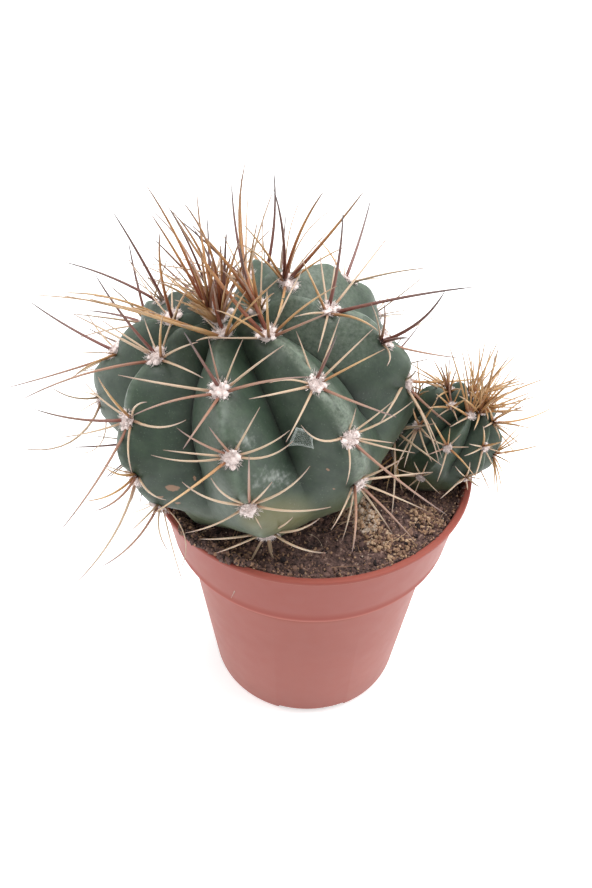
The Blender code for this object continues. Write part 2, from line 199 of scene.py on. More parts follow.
NOTCH_OUTER_RADIUS = 1.4 * BASE_RADIUS
FIRST_NOTCH = radians(-85)
DRAIN_RADIUS = 0.003
DRAIN_RING_RADIUS = 0.0212
DRILL_LENGTH = 0.01
POT_PINK = colour(164, 93, 83)
POT_PINK_DEEP = colour(162, 91, 81)
# Painted shade: the collar's colour a little darker, where the rim and the plant shade it
POT_COLLAR_PAINTED_SHADE = colour(159, 83, 73)
# Painted light: the pot's colour low down, paler where the white floor lights it
POT_LOW_PAINTED_LIGHT = colour(173, 104, 94)
POT_RIM_RED = colour(167, 90, 77)
# Painted light: a paler band round the collar's foot, lifting the shade under the step
POT_BAND_PAINTED_LIGHT = colour(190, 118, 107)
# Heights between which each change of colour or gloss fades in: painted light low down, painted
# shade on the collar, the rim's red, a band of painted light round the collar's foot, and a duller
# band there
PAINTED_LIGHT_LOW_DOWN = (0.040, 0.005)
ON_COLLAR = (COLLAR_FOOT - 0.0005, COLLAR_FOOT + 0.0005)
NEAR_RIM = (POT_HEIGHT - 0.0005, POT_HEIGHT - 0.0001)
BAND_BELOW = (COLLAR_FOOT + 0.0024, COLLAR_FOOT + 0.0002)
BAND_ABOVE = (COLLAR_FOOT - 0.0020, COLLAR_FOOT - 0.0012)
DULL_BELOW = (COLLAR_FOOT + 0.005, COLLAR_FOOT + 0.002)
DULL_ABOVE = (COLLAR_FOOT - 0.006, COLLAR_FOOT - 0.003)
RIM_SHARE = 0.8
BAND_PAINTED_LIGHT_SHARE = 0.8
DULL_ROUGHNESS = 0.8


def rounded(corners):
    """A polyline through (radius, height, fillet) corners, each fillet a short curve."""
    line = []
    for index, (radius, height, fillet) in enumerate(corners):
        here = Vector((radius, height))
        if fillet == 0:
            line.append(here)
            continue
        before = Vector(corners[index - 1][:2]) - here
        after = Vector(corners[index + 1][:2]) - here
        reach = min(fillet, 0.48 * before.length, 0.48 * after.length)
        start = here + before.normalized() * reach
        end = here + after.normalized() * reach
        for step in range(6):
            t = step / 5
            line.append(start * (1 - t) ** 2 + here * 2 * t * (1 - t) + end * t ** 2)
    return line


def spun(line, sides):
    """A closed solid of revolution about Z from a polyline of (radius, height) points."""
    made = bmesh.new()
    verts = [made.verts.new((point.x, 0.0, point.y)) for point in line]
    edges = [made.edges.new(pair) for pair in zip(verts, verts[1:])]
    bmesh.ops.spin(
        made, geom=verts + edges, cent=(0, 0, 0), axis=(0, 0, 1), angle=2 * pi,
        steps=sides, use_merge=True,
    )
    bmesh.ops.remove_doubles(made, verts=made.verts, dist=1e-6)
    bmesh.ops.recalc_face_normals(made, faces=made.faces)
    return made


def cut_away(piece, cutter, solver="EXACT"):
    """Cuts the cutter's shape out of the piece for good, and removes the cutter."""
    boolean = piece.modifiers.new("cut", "BOOLEAN")
    boolean.operation = "DIFFERENCE"
    boolean.solver = solver
    boolean.object = cutter
    graph = bpy.context.evaluated_depsgraph_get()
    mesh = bpy.data.meshes.new_from_object(piece.evaluated_get(graph))
    piece.modifiers.clear()
    piece.data = mesh
    bpy.data.objects.remove(cutter, do_unlink=True)


def add_node(tree, kind, inputs=None, **settings):
    """A new node with its settings and then its inputs."""
    made = tree.nodes.new(kind)
    for name, value in settings.items():
        setattr(made, name, value)
    set_inputs(made, inputs or {})
    return made


def object_place(tree):
    return add_node(tree, "ShaderNodeTexCoord").outputs["Object"]


def noise_node(tree, scale, detail=3.0, roughness=0.5):
    """Noise on Object coordinates; scale is in cycles per metre. Returns its factor socket."""
    return add_node(tree, "ShaderNodeTexNoise", {
        "Scale": scale, "Detail": detail, "Roughness": roughness, "Vector": object_place(tree),
    }).outputs["Fac"]


def ramp_node(tree, factor, stops):
    """Colour ramp on a factor, from (position, colour) stops. Returns its colour socket."""
    made = add_node(tree, "ShaderNodeValToRGB", {"Fac": factor})
    elements = made.color_ramp.elements
    for index, (position, shade) in enumerate(stops):
        element = elements[index] if index < 2 else elements.new(position)
        element.position = position
        element.color = shade
    return made.outputs["Color"]


def grey(value):
    return (value, value, value, 1.0)


def mask_node(tree, factor, low, high):
    """0 below low and 1 above high of a factor, smooth between. Returns its value socket."""
    inputs = {"From Min": low, "From Max": high, "Value": factor}
    made = add_node(tree, "ShaderNodeMapRange", inputs, interpolation_type="SMOOTHSTEP")
    return made.outputs["Result"]


def blend_node(tree, factor, first, second):
    """Mixes two colours by a factor, each a socket or a constant. Returns the colour socket."""
    inputs = {0: factor, 6: first, 7: second}
    return add_node(tree, "ShaderNodeMix", inputs, data_type="RGBA").outputs[2]


def math_node(tree, operation, first, second):
    inputs = {0: first, 1: second}
    return add_node(tree, "ShaderNodeMath", inputs, operation=operation).outputs[0]


def times(tree, product, *factors):
    """The product of sockets and constants."""
    for factor in factors:
        product = math_node(tree, "MULTIPLY", product, factor)
    return product


def mark_node(tree, name):
    """The number that the mesh carries under this name at each of its points."""
    return add_node(tree, "ShaderNodeAttribute", attribute_name=name).outputs["Fac"]


def bump_node(tree, height, strength, distance):
    inputs = {"Strength": strength, "Distance": distance, "Height": height}
    return add_node(tree, "ShaderNodeBump", inputs).outputs["Normal"]


# The pot's outline from the middle of its underside, round the rim to the middle of its floor
pot_line = rounded([
    # radius, height, fillet
    (0.0, 0.0, 0),
    (BASE_RADIUS, 0.0, BASE_ROUNDING),
    (BODY_TOP_RADIUS, BODY_TOP, 0.004),
    (COLLAR_FOOT_RADIUS, COLLAR_FOOT, 0.006),
    (RIM_RADIUS - LIP_WIDTH, POT_HEIGHT - LIP_HEIGHT, 0.0003),
    (RIM_RADIUS, POT_HEIGHT - LIP_HEIGHT, 0.0004),
    (RIM_RADIUS, POT_HEIGHT, 0.0005),
    (RIM_RADIUS - LIP_WIDTH - 0.4 * WALL, POT_HEIGHT, 0.0004),
    (RIM_RADIUS - LIP_WIDTH - WALL, POT_HEIGHT - LIP_HEIGHT, 0.0003),
    (COLLAR_FOOT_RADIUS - WALL, COLLAR_FOOT + WALL, 0.001),
    (BODY_TOP_RADIUS - WALL, BODY_TOP + WALL, 0.001),
    (BASE_RADIUS - WALL, FOOT_THICKNESS, 0.0015),
    (FOOT_INNER_RADIUS + FOOT_THICKNESS - POT_FLOOR, FOOT_THICKNESS, 0.0003),
    (FOOT_INNER_RADIUS, POT_FLOOR, 0.0003),
    (0.0, POT_FLOOR, 0),
])

pot_plastic, tree, shader = new_material("pot_plastic")
height = add_node(tree, "ShaderNodeSeparateXYZ", {0: object_place(tree)}).outputs["Z"]
pink = ramp_node(tree, noise_node(tree, 55, 2.0), [(0.35, POT_PINK_DEEP), (0.65, POT_PINK)])
# Painted light: paler towards the base, where light from the floor falls on the pot
pink = blend_node(tree, mask_node(tree, height, *PAINTED_LIGHT_LOW_DOWN), pink, POT_LOW_PAINTED_LIGHT)
# Painted shade: the collar darker than the body below it
pink = blend_node(tree, mask_node(tree, height, *ON_COLLAR), pink, POT_COLLAR_PAINTED_SHADE)
near_rim = times(tree, mask_node(tree, height, *NEAR_RIM), RIM_SHARE)
pink = blend_node(tree, near_rim, pink, POT_RIM_RED)
# Painted light: a paler band round the collar's foot, over the shade under the step
painted_light_band = times(
    tree, mask_node(tree, height, *BAND_BELOW), mask_node(tree, height, *BAND_ABOVE), BAND_PAINTED_LIGHT_SHARE,
)
pink = blend_node(tree, painted_light_band, pink, POT_BAND_PAINTED_LIGHT)
satin = ramp_node(tree, noise_node(tree, 240, 4.0), [(0.3, grey(0.44)), (0.7, grey(0.50))])
dull = times(tree, mask_node(tree, height, *DULL_BELOW), mask_node(tree, height, *DULL_ABOVE))
set_inputs(shader, {
    "Base Color": pink,
    "Roughness": blend_node(tree, dull, satin, grey(DULL_ROUGHNESS)),
    "Normal": bump_node(tree, noise_node(tree, 500, 2.0), 0.01, 0.0002),
    "Specular IOR Level": 0.16,
    "Sheen Weight": 0.10,
    "Sheen Roughness": 0.5,
    "Sheen Tint": colour(255, 214, 206),
    "Subsurface Weight": 0.12,
    "Subsurface Radius": (0.0020, 0.0008, 0.0005),
    "Subsurface Scale": 1.0,
})

pot = finished("nursery_pot", spun(pot_line, POT_SIDES), pot_plastic)
for index in range(NOTCHES):
    turn = FIRST_NOTCH + index * 2 * pi / NOTCHES
    bm = bmesh.new()
    block = bmesh.ops.create_cube(bm, size=1.0)
    for vert in block["verts"]:
        radius = NOTCH_OUTER_RADIUS if vert.co.x > 0 else NOTCH_INNER_RADIUS
        angle = turn + (NOTCH_HALF_WIDTH if vert.co.y > 0 else -NOTCH_HALF_WIDTH)
        height = NOTCH_HEIGHT if vert.co.z > 0 else -NOTCH_HEIGHT
        vert.co = (radius * cos(angle), radius * sin(angle), height)
    cut_away(pot, finished("notch_block", bm, pot_plastic))
    bm = bmesh.new()
    hole = Vector((DRAIN_RING_RADIUS * cos(turn), DRAIN_RING_RADIUS * sin(turn), 0))
    bmesh.ops.create_cone(
        bm, cap_ends=True, segments=24, radius1=DRAIN_RADIUS, radius2=DRAIN_RADIUS,
        depth=DRILL_LENGTH, matrix=Matrix.Translation(hole),
    )
    cut_away(pot, finished("drain_drill", bm, pot_plastic))
pot.data.set_sharp_from_angle(angle=POT_SHARP_ANGLE)
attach(pot, "root")
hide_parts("pot")


# Main stem: one round head of the cactus, solid and fleshy, with rounded ribs parted by sharp
# furrows. Its waxy skin is dark blue-green with a pale bloom on the ribs, paler at the base. Its
# colour also holds painted light: a painted highlight with the bloom on the lit flanks and over the
# upper right, a painted highlight line on the crests, and painted shade in the furrows.
MAIN = dict(
    centre=(-0.0160, 0.0, 0.1020), tilt=(-0.24, 0.0),
    radius=0.0392, top=0.0272, bottom=0.0350, root=0.010, dip=0.0040,
    squeeze=0.19, squeezed_side=180, slump=0.17, slumped_side=108,
    bloom_and_highlight=1.0, furrow=0.25, crenation=0.0011,
    ribs=(
        # azimuth at the crown and at the base, angle of the first areole, step to the next one
        (-218, -218, 9.0, 28.0),
        (-184, -180, 20.5, 30.0),
        (-148, -126, 3.4, 27.5),
        (-93, -88, 13.5, 27.3),
        (-50, -49, 24.0, 28.1),
        (-6, -8, 11.0, 27.1),
        (44, 31, 32.4, 28.0),
        (76, 80, 22.0, 28.0),
        (112, 112, 12.0, 28.0),
    ),
)
# Ribs, with angles in degrees from the crown: how blunt a crest is, how straight its flanks
# are, and the start and width of the stretches over which each form comes or goes
CREST_BLUNTNESS = 0.2
FLANK_STRAIGHTNESS = 0.65
FURROW_OPENS_BY = 30
FURROW_FADES = (84, 30)
FURROW_LOST_AT_BASE = 0.90
CRENATION_STARTS = (6, 14)
CRENATION_ENDS = (140, 25)
PRESSED = (82, 34)
SLUMP_WIDTH = 26
SLUMP_FULL_BY = 25
ROOT_BEGINS = (140, 40)
DIP_WIDTH = 20
LAST_TABLED_ANGLE = 120
LAST_AREOLE = 125.0
SKIN_SHARP_ANGLE = radians(38)
# The skin's mesh, its low waves as (cycles per metre, height), the dimple under each areole as
# (depth, width) and the swelling round it as (height, distance, width)
COLUMNS_PER_RIB = 36
SKIN_RINGS = 190
SKIN_WAVES = ((130, 0.00022), (420, 0.00006))
DIMPLE = (0.00045, 0.0017)
BROW = (0.00030, 0.0040, 0.0014)
# Painted shade in the furrows: how narrow its line is, and the angles over which it comes in
FURROW_SHADE_LINE = 10
FURROW_SHADE_STARTS = (14, 20)
# Painted highlight along the crests, with a little bloom: the width of its pale line, and the
# angles over which it comes in
CREST_HIGHLIGHT_WIDTH = 0.07
CREST_HIGHLIGHT_STARTS = (20, 12)
# Bloom and painted highlight of each rib, paler on the lit flanks: its strength and how far it
# reaches down the rib's left and right flanks
BLOOM_AND_HIGHLIGHT = (
    (0.34, 0.40, 0.50), (0.42, 0.30, 0.50), (0.28, 0.50, 0.10), (0.38, 0.95, 0.55),
    (1.70, 0.22, 0.38), (0.50, 0.12, 0.35), (0.76, 0.50, 0.60), (0.34, 0.40, 0.50),
    (0.34, 0.40, 0.50),
)
BLOOM_AND_HIGHLIGHT_STARTS = (8, 14)
BLOOM_AND_HIGHLIGHT_SOFT_EDGE = 0.7
# Painted highlight: the softbox's reflection over the upper right of the head, by its side, reach,
# lowest angle, fade, start and strength
PAINTED_HIGHLIGHT_TOP_RIGHT = dict(side=20, reach=50, lowest=78, fade=30, starts=(12, 12), strength=1.25)
SOIL_LEVEL = 0.0750
SKIN_DARK = colour(44, 62, 48)
SKIN_MID = colour(62, 81, 62)
# Painted shade for the furrows
SKIN_FURROW_SHADE = colour(32, 40, 33)
# Bloom with painted highlight on the lit flanks; also the colour of the bloom's speckles
SKIN_BLOOM_AND_HIGHLIGHT = colour(146, 158, 142)
# Painted highlight for the crest lines
SKIN_CREST_HIGHLIGHT = colour(160, 180, 160)
SKIN_YELLOW = colour(130, 126, 86)
SCAR_TAN = colour(158, 122, 96)
DUST_WHITE = colour(200, 206, 200)

# Areoles that sit off their rib's even row: (rib, number), the angle from the crown and the
# pixel where each is seen
MOVED_AREOLES = (((2, 4), 100.0, (156, 516)), ((6, 0), 32.4, (288, 282)))

# Marks on the skin: the kind, the pixel of its middle, and its half width and half height
SKIN_MARKS = (
    ("scar", (172.7, 488), 0.0015, 0.0007),
    ("scar", (160, 497), 0.0008, 0.0003),
    ("scar", (178, 503), 0.0006, 0.0003),
    ("scar", (195, 478), 0.0003, 0.0006),
    ("scar", (328, 469), 0.0004, 0.0004),
    ("scar", (333, 489), 0.0003, 0.0003),
    ("dust", (274, 478), 0.0044, 0.0026),
    ("dust", (255, 486), 0.0016, 0.0008),
    ("dust", (246, 440), 0.0020, 0.0022),
    ("yellow", (284, 519), 0.0075, 0.0048),
    ("yellow", (258, 516), 0.0040, 0.0036),
)
MARK_KINDS = ("scar", "dust", "yellow")


def smooth(value):
    value = min(max(value, 0.0), 1.0)
    return value * value * (3 - 2 * value)


def past(theta, span):
    """0 before the span's start and 1 past its width, both in degrees from the crown."""
    start, width = span
    return smooth((theta - start) / width)


def axes_of(tilt):
    """Columns of a stem's own frame: its z leans by tilt, its x stays level in y."""
    up = Vector((tilt[0], tilt[1], 1.0)).normalized()
    right = Vector((0.0, 1.0, 0.0)).cross(up).normalized()
    return Matrix((right, up.cross(right), up)).transposed()


def rib_azimuth(stem, index, theta):
    """Azimuth of a crest, in degrees, which runs from its value at the crown to the one below."""
    turns, rib = divmod(round(index), len(stem["ribs"]))
    crown, base = stem["ribs"][rib][:2]
    return crown + (base - crown) * theta / LAST_TABLED_ANGLE + 360 * turns


def flank(across):
    """Depth across half a rib: 0 on its rounded crest, 1 in the sharp furrow."""
    blunt = CREST_BLUNTNESS
    straight = (sqrt(across * across + blunt * blunt) - blunt) / (sqrt(1 + blunt * blunt) - blunt)
    return FLANK_STRAIGHTNESS * straight + (1 - FLANK_STRAIGHTNESS) * across * across


def crest_swell(stem, rib, theta):
    """How far the crest stands out between two areoles; zero at each areole."""
    first, step = stem["ribs"][rib % len(stem["ribs"])][2:]
    end, width = CRENATION_ENDS
    fade = past(theta, CRENATION_STARTS) * smooth((end - theta) / width)
    return stem["crenation"] * fade * (1 - cos(2 * pi * (theta - first) / step))


def stem_point(stem, theta, rib, across):
    """A point of the ribbed skin. rib + across runs round the stem: across 0 and 1 are crests."""
    half = 2 * min(across, 1 - across)
    azimuth = radians(
        (1 - across) * rib_azimuth(stem, rib, theta) + across * rib_azimuth(stem, rib + 1, theta)
    )
    angle = radians(theta)
    kept = 1 - FURROW_LOST_AT_BASE * past(theta, FURROW_FADES)
    depth = stem["furrow"] * smooth(theta / FURROW_OPENS_BY) * kept
    shrink = 1 - depth * flank(half)
    facing = max(cos(azimuth - radians(stem["squeezed_side"])), 0.0)
    pressed = 1 - stem["squeeze"] * facing * past(theta, PRESSED)
    apart = (degrees(azimuth) - stem["slumped_side"] + 180) % 360 - 180
    slumped = 1 - stem["slump"] * exp(-((apart / SLUMP_WIDTH) ** 2)) * smooth(theta / SLUMP_FULL_BY)
    nearest = rib if across < 0.5 else rib + 1
    swell = crest_swell(stem, nearest, theta) * (1 - half) ** 2
    height = stem["top"] if theta < 90 else stem["bottom"]
    out = stem["radius"] * sin(angle) * shrink * pressed * slumped + swell * sin(angle)
    up = height * cos(angle) * shrink * slumped + swell * cos(angle)
    up -= stem["dip"] * exp(-((theta / DIP_WIDTH) ** 2))
    up -= stem["root"] * past(theta, ROOT_BEGINS)
    local = Vector((out * cos(azimuth), out * sin(azimuth), up))
    return axes_of(stem["tilt"]) @ local + Vector(stem["centre"])


def areoles_of(stem):
    """Each areole, as (rib, number): its angle, its point and the directions out, up and right."""
    found = {}
    for rib, (_, _, first, step) in enumerate(stem["ribs"]):
        number = 0
        while first + number * step < LAST_AREOLE:
            theta = first + number * step
            point = stem_point(stem, theta, rib, 0.0)
            above = stem_point(stem, max(theta - 3, 0.5), rib, 0.0)
            below = stem_point(stem, theta + 3, rib, 0.0)
            up = (above - below).normalized()
            side = stem_point(stem, theta, rib, 0.02) - stem_point(stem, theta, rib - 1, 0.98)
            out = up.cross(side).normalized()
            if out.dot(point - Vector(stem["centre"])) < 0:
                out = -out
            found[rib, number] = (theta, point, out, up, up.cross(out))
            number += 1
    return found


def add_marks(bm, marks):
    """Notes on every vertex how near it lies to the middle of a mark, 1 at the middle."""
    seen = BVHTree.FromBMesh(bm)
    layers = {kind: bm.verts.layers.float.new(kind) for kind in MARK_KINDS}
    for kind, pixel, half_width, half_height in marks:
        middle = seen.ray_cast(camera_place, sight_line(pixel))[0]
        for vert in bm.verts:
            apart = vert.co - middle
            if apart.length < 3 * max(half_width, half_height):
                across = apart.dot(camera_right) / half_width
                upward = apart.dot(camera_up) / half_height
                vert[layers[kind]] = max(vert[layers[kind]], 1 - 0.5 * hypot(across, upward))


def bloom_and_highlight_at(stem, theta, rib, across, half):
    """The strength of the pale bloom with painted highlight: along the crests, and a painted
    highlight all over the upper right.
    """
    strength, left, right = BLOOM_AND_HIGHLIGHT[(rib if across < 0.5 else rib + 1) % len(stem["ribs"])]
    width = right if across < 0.5 else left
    near_crest = strength * smooth((width - half) / (BLOOM_AND_HIGHLIGHT_SOFT_EDGE * width))
    near_crest *= past(theta, BLOOM_AND_HIGHLIGHT_STARTS)
    # Painted highlight of the softbox over the upper right
    patch = PAINTED_HIGHLIGHT_TOP_RIGHT
    apart = (rib_azimuth(stem, rib + across, theta) - patch["side"]) / patch["reach"]
    upper = exp(-(apart ** 2)) * smooth((patch["lowest"] - theta) / patch["fade"])
    upper *= past(theta, patch["starts"])
    return stem["bloom_and_highlight"] * max(near_crest, patch["strength"] * upper)


def ribbed_skin(stem, areoles, name, columns_per_rib, rings, surface, marks):
    """The ribbed skin: a fine sphere whose columns follow the ribs, dimpled round each areole."""
    count = len(stem["ribs"]) * columns_per_rib
    size = stem["radius"] / MAIN["radius"]
    bm = bmesh.new()
    bmesh.ops.create_uvsphere(bm, u_segments=count, v_segments=rings, radius=1.0)
    bloom_and_highlight, furrow, crest, age = [
        bm.verts.layers.float.new(kind) for kind in ("bloom_and_highlight", "furrow", "crest", "age")
    ]
    tree_of_areoles = kdtree.KDTree(len(areoles))
    for index, (_, point, _, _, _) in enumerate(areoles.values()):
        tree_of_areoles.insert(point, index)
    tree_of_areoles.balance()
    for vert in bm.verts:
        theta = degrees(acos(min(max(vert.co.z, -1.0), 1.0)))
        column = round(atan2(vert.co.y, vert.co.x) / (2 * pi) * count) % count
        rib, step = divmod(column, columns_per_rib)
        across = step / columns_per_rib
        half = 2 * min(across, 1 - across)
        # The bloom mark: real bloom on the crests, with painted highlight on the lit flanks and the
        # upper right
        vert[bloom_and_highlight] = bloom_and_highlight_at(stem, theta, rib, across, half)
        # The furrow mark: painted shade down each furrow
        line = half ** FURROW_SHADE_LINE * past(theta, FURROW_SHADE_STARTS)
        vert[furrow] = line * (1 - past(theta, FURROW_FADES))
        # The crest mark: a painted highlight line along each crest
        vert[crest] = exp(-((half / CREST_HIGHLIGHT_WIDTH) ** 2)) * past(theta, CREST_HIGHLIGHT_STARTS)
        vert[age] = theta / 180
        place = stem_point(stem, theta, rib, across)
        outward = (place - Vector(stem["centre"])).normalized()
        wave = sum(noise.noise(place * rate) * height for rate, height in SKIN_WAVES)
        distance = tree_of_areoles.find(place)[2]
        dimple = -DIMPLE[0] * exp(-((distance / DIMPLE[1]) ** 2))
        brow = BROW[0] * exp(-(((distance - BROW[1] * size) / BROW[2]) ** 2))
        vert.co = place + outward * (wave + (dimple + brow) * sqrt(size))
    add_marks(bm, marks)
    made = finished(name, bm, surface)
    made.data.set_sharp_from_angle(angle=SKIN_SHARP_ANGLE)
    return made


skin, tree, shader = new_material("stem_skin")
mottle = noise_node(tree, 260, 6.0, 0.62)
green = ramp_node(tree, mottle, [(0.34, SKIN_DARK), (0.68, SKIN_MID)])
# Painted shade: the furrows darkened, where shade falls between the ribs
green = blend_node(tree, times(tree, mark_node(tree, "furrow"), 0.95), green, SKIN_FURROW_SHADE)
# Bloom with painted highlight: pale on the lit flanks of the ribs and over the upper right
uneven = mask_node(tree, noise_node(tree, 1100, 6.0, 0.7), 0.12, 0.88)
bloom_and_highlight = times(tree, uneven, mark_node(tree, "bloom_and_highlight"), 0.62)
green = blend_node(tree, bloom_and_highlight, green, SKIN_BLOOM_AND_HIGHLIGHT)
# Painted highlight, partly bloom: a broken pale line along the crests
broken = mask_node(tree, noise_node(tree, 500, 4.0), 0.30, 0.62)
crest = times(tree, broken, mark_node(tree, "crest"), 0.22)
green = blend_node(tree, crest, green, SKIN_CREST_HIGHLIGHT)
yellow_ring = times(tree, mask_node(tree, mark_node(tree, "age"), 0.56, 0.70), 0.5)
yellow_spot = mask_node(tree, mark_node(tree, "yellow"), 0.2, 0.9)
yellow = times(tree, math_node(tree, "MAXIMUM", yellow_ring, yellow_spot), 0.75)
green = blend_node(tree, yellow, green, SKIN_YELLOW)
pores = add_node(tree, "ShaderNodeTexVoronoi", {"Scale": 1500, "Vector": object_place(tree)})
dots = mask_node(tree, pores.outputs["Distance"], 0.30, 0.12)
patches = mask_node(tree, noise_node(tree, 420, 3.0), 0.45, 0.62)
green = blend_node(tree, times(tree, dots, patches, 0.20), green, SKIN_BLOOM_AND_HIGHLIGHT)
ragged = times(tree, noise_node(tree, 900, 4.0), 0.5)
dust = math_node(tree, "ADD", mark_node(tree, "dust"), times(tree, ragged, 2.6))
green = blend_node(tree, times(tree, mask_node(tree, dust, 1.1, 2.1), 0.7), green, DUST_WHITE)
scar = mask_node(tree, math_node(tree, "ADD", mark_node(tree, "scar"), ragged), 0.66, 0.80)
gloss = noise_node(tree, 300, 4.0)
set_inputs(shader, {
    "Base Color": blend_node(tree, scar, green, SCAR_TAN),
    "Roughness": ramp_node(tree, gloss, [(0.3, grey(0.42)), (0.7, grey(0.60))]),
    "Normal": bump_node(tree, noise_node(tree, 1400, 4.0), 0.22, 0.0002),
    "Sheen Weight": 0.07,
    "Sheen Roughness": 0.45,
    "Sheen Tint": colour(205, 220, 210),
    "Subsurface Weight": 0.08,
    "Subsurface Radius": (0.0006, 0.0012, 0.0005),
    "Subsurface Scale": 1.0,
})


def solid_tree(piece):
    """A search tree of a piece's faces."""
    return BVHTree.FromPolygons(
        [vert.co for vert in piece.data.vertices],
        [face.vertices[:] for face in piece.data.polygons],
    )


# The moved areoles go where the photograph shows them, or to the skin nearest to that line
main_areoles = areoles_of(MAIN)
for key, _, _ in MOVED_AREOLES:
    main_areoles.pop(key)
main_skin = ribbed_skin(
    MAIN, main_areoles, "main_stem_skin", COLUMNS_PER_RIB, SKIN_RINGS, skin, SKIN_MARKS,
)
skin_tree = solid_tree(main_skin)
for key, theta, pixel in MOVED_AREOLES:
    line = sight_line(pixel)
    point, out = skin_tree.ray_cast(camera_place, line)[:2]
    if point is None:
        steps = [camera_place + line * (CAMERA_DISTANCE + 0.001 * step) for step in range(-60, 90)]
        nearest = [skin_tree.find_nearest(step) for step in steps]
        point, out, _, _ = min(nearest, key=lambda found: found[3])
    up = (Vector((0, 0, 1)) - out * out.z).normalized()
    main_areoles[key] = (theta, point, out, up, up.cross(out))
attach(main_skin, "root")
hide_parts("main_stem")


# Offset: a small head that has budded from the foot of the main stem and leans out over the
# rim. It has the same flesh and skin, with closer and narrower ribs.
OFFSET = dict(
    centre=(0.0343, -0.0005, 0.0880), tilt=(0.58, 0.05),
    radius=0.0132, top=0.0138, bottom=0.0170, root=0.004, dip=0.0012,
    squeeze=0.24, squeezed_side=0, slump=0.0, slumped_side=0,
    bloom_and_highlight=0.3, furrow=0.24, crenation=0.0006,
    ribs=(
        (-112, -110, 27.0, 44.0),
        (-68, -58, 12.0, 42.0),
        (-22, -18, 30.0, 42.0),
        (24, 24, 14.0, 42.0),
        (68, 68, 32.0, 42.0),
        (112, 112, 12.0, 42.0),
        (157, 157, 34.0, 42.0),
        (210, 203, 36.0, 43.0),
    ),
)
OFFSET_COLUMNS_PER_RIB = 20
OFFSET_RINGS = 90
offset_areoles = areoles_of(OFFSET)
offset_skin = ribbed_skin(
    OFFSET, offset_areoles, "offset_stem_skin", OFFSET_COLUMNS_PER_RIB, OFFSET_RINGS, skin, (),
)
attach(offset_skin, "root")
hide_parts("offset_stem")


# Soil: damp dark peat pressed into the pot to just below the rim, lumpy on top, with a plain
# hollow under each stem
SOIL_GAP = 0.0003
CLOD_SIZE = 0.0055
CLOD_HEIGHT = 0.0013
HEAP_AT = (0.018, -0.016)
HEAP_RADIUS = 0.010
HEAP_HEIGHT = 0.0016
CRUMB_SIZE = 0.0016
CRUMB_HEIGHT = 0.00055
FINE_CRUMB_SIZE = 0.0007
FINE_CRUMB_HEIGHT = 0.00030
SOIL_RINGS = 90
SOIL_SIDES = 200
PEAT_BLACK = colour(44, 32, 32)
PEAT_BROWN = colour(128, 98, 90)
PEAT_TAN = colour(196, 164, 146)


def soil_height(x, y):
    """Lumpy top of the soil: small clods, and a low heap between the two stems."""
    clods = noise.noise(Vector((x, y, 0.0)) / CLOD_SIZE)
    broad = noise.noise(Vector((x + 0.5, y, 0.0)) / (4 * CLOD_SIZE))
    heap = exp(-(hypot(x - HEAP_AT[0], y - HEAP_AT[1]) / HEAP_RADIUS) ** 2)
    return SOIL_LEVEL + CLOD_HEIGHT * (0.6 * clods + 0.7 * broad) + HEAP_HEIGHT * heap


def crumbly_height(x, y):
    """The soil's height with its small crumbs."""
    crumbs = noise.noise(Vector((x, y, 0.0)) / CRUMB_SIZE) * CRUMB_HEIGHT
    fine_crumbs = noise.noise(Vector((x, y, 0.3)) / FINE_CRUMB_SIZE) * FINE_CRUMB_HEIGHT
    return soil_height(x, y) + crumbs + fine_crumbs


soil_top = RIM_RADIUS - LIP_WIDTH - WALL - 3 * SOIL_GAP
soil_line = [Vector((soil_top * step / SOIL_RINGS, SOIL_LEVEL)) for step in range(SOIL_RINGS + 1)]
soil_line += [Vector(corner) for corner in (
    (COLLAR_FOOT_RADIUS - WALL - SOIL_GAP, COLLAR_FOOT + WALL),
    (BODY_TOP_RADIUS - WALL - SOIL_GAP, BODY_TOP + WALL),
    (BASE_RADIUS - WALL - SOIL_GAP, FOOT_THICKNESS + BASE_ROUNDING),
    (BASE_RADIUS - BASE_ROUNDING, FOOT_THICKNESS + SOIL_GAP),
    (FOOT_INNER_RADIUS + FOOT_THICKNESS - POT_FLOOR - SOIL_GAP, FOOT_THICKNESS + SOIL_GAP),
    (FOOT_INNER_RADIUS - SOIL_GAP, POT_FLOOR + SOIL_GAP),
    (0.0, POT_FLOOR + SOIL_GAP),
)]
bm = spun(soil_line, SOIL_SIDES)
for vert in bm.verts:
    if vert.co.z > SOIL_LEVEL - 0.0001:
        vert.co.z = crumbly_height(vert.co.x, vert.co.y)

peat, tree, shader = new_material("peat_soil")
lumps = noise_node(tree, 900, 6.0, 0.72)
set_inputs(shader, {
    "Base Color": ramp_node(
        tree, lumps, [(0.36, PEAT_BLACK), (0.56, PEAT_BROWN), (0.68, PEAT_TAN)],
    ),
    "Roughness": 0.92,
    "Normal": bump_node(tree, noise_node(tree, 2200, 5.0, 0.7), 0.7, 0.0005),
})
soil = finished("soil_fill", bm, peat)
for stem_piece in (main_skin, offset_skin):
    hollow = stem_piece.copy()
    hollow.data = stem_piece.data.copy()
    hollow.parent = None
    bpy.context.scene.collection.objects.link(hollow)
    cut_away(soil, hollow, "MANIFOLD")
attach(soil, "root")
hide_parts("soil")


# Areoles: felted pads of short wool, one in each notch of a rib, whitest on the young ones
# near the crown. The spines stand in them.
WOOL_WHITE = (0.88, 0.78, 0.75, 1.0)
WOOL_GREY = (0.62, 0.50, 0.47, 1.0)
MAIN_AREOLE = 0.0031
OFFSET_AREOLE = 0.0015
WOOL_LUMPS = 16
WOOL_HAIRS = 170
HAIR_RADIUS = 0.00005
HAIR_SPREAD = 0.00003
# How fast an areole ages with its angle from the crown, and how much wider the first one is
YOUNG_WITHIN = 30
FIRST_ONE_WITHIN = 6
FIRST_ONE_WIDER = 1.15


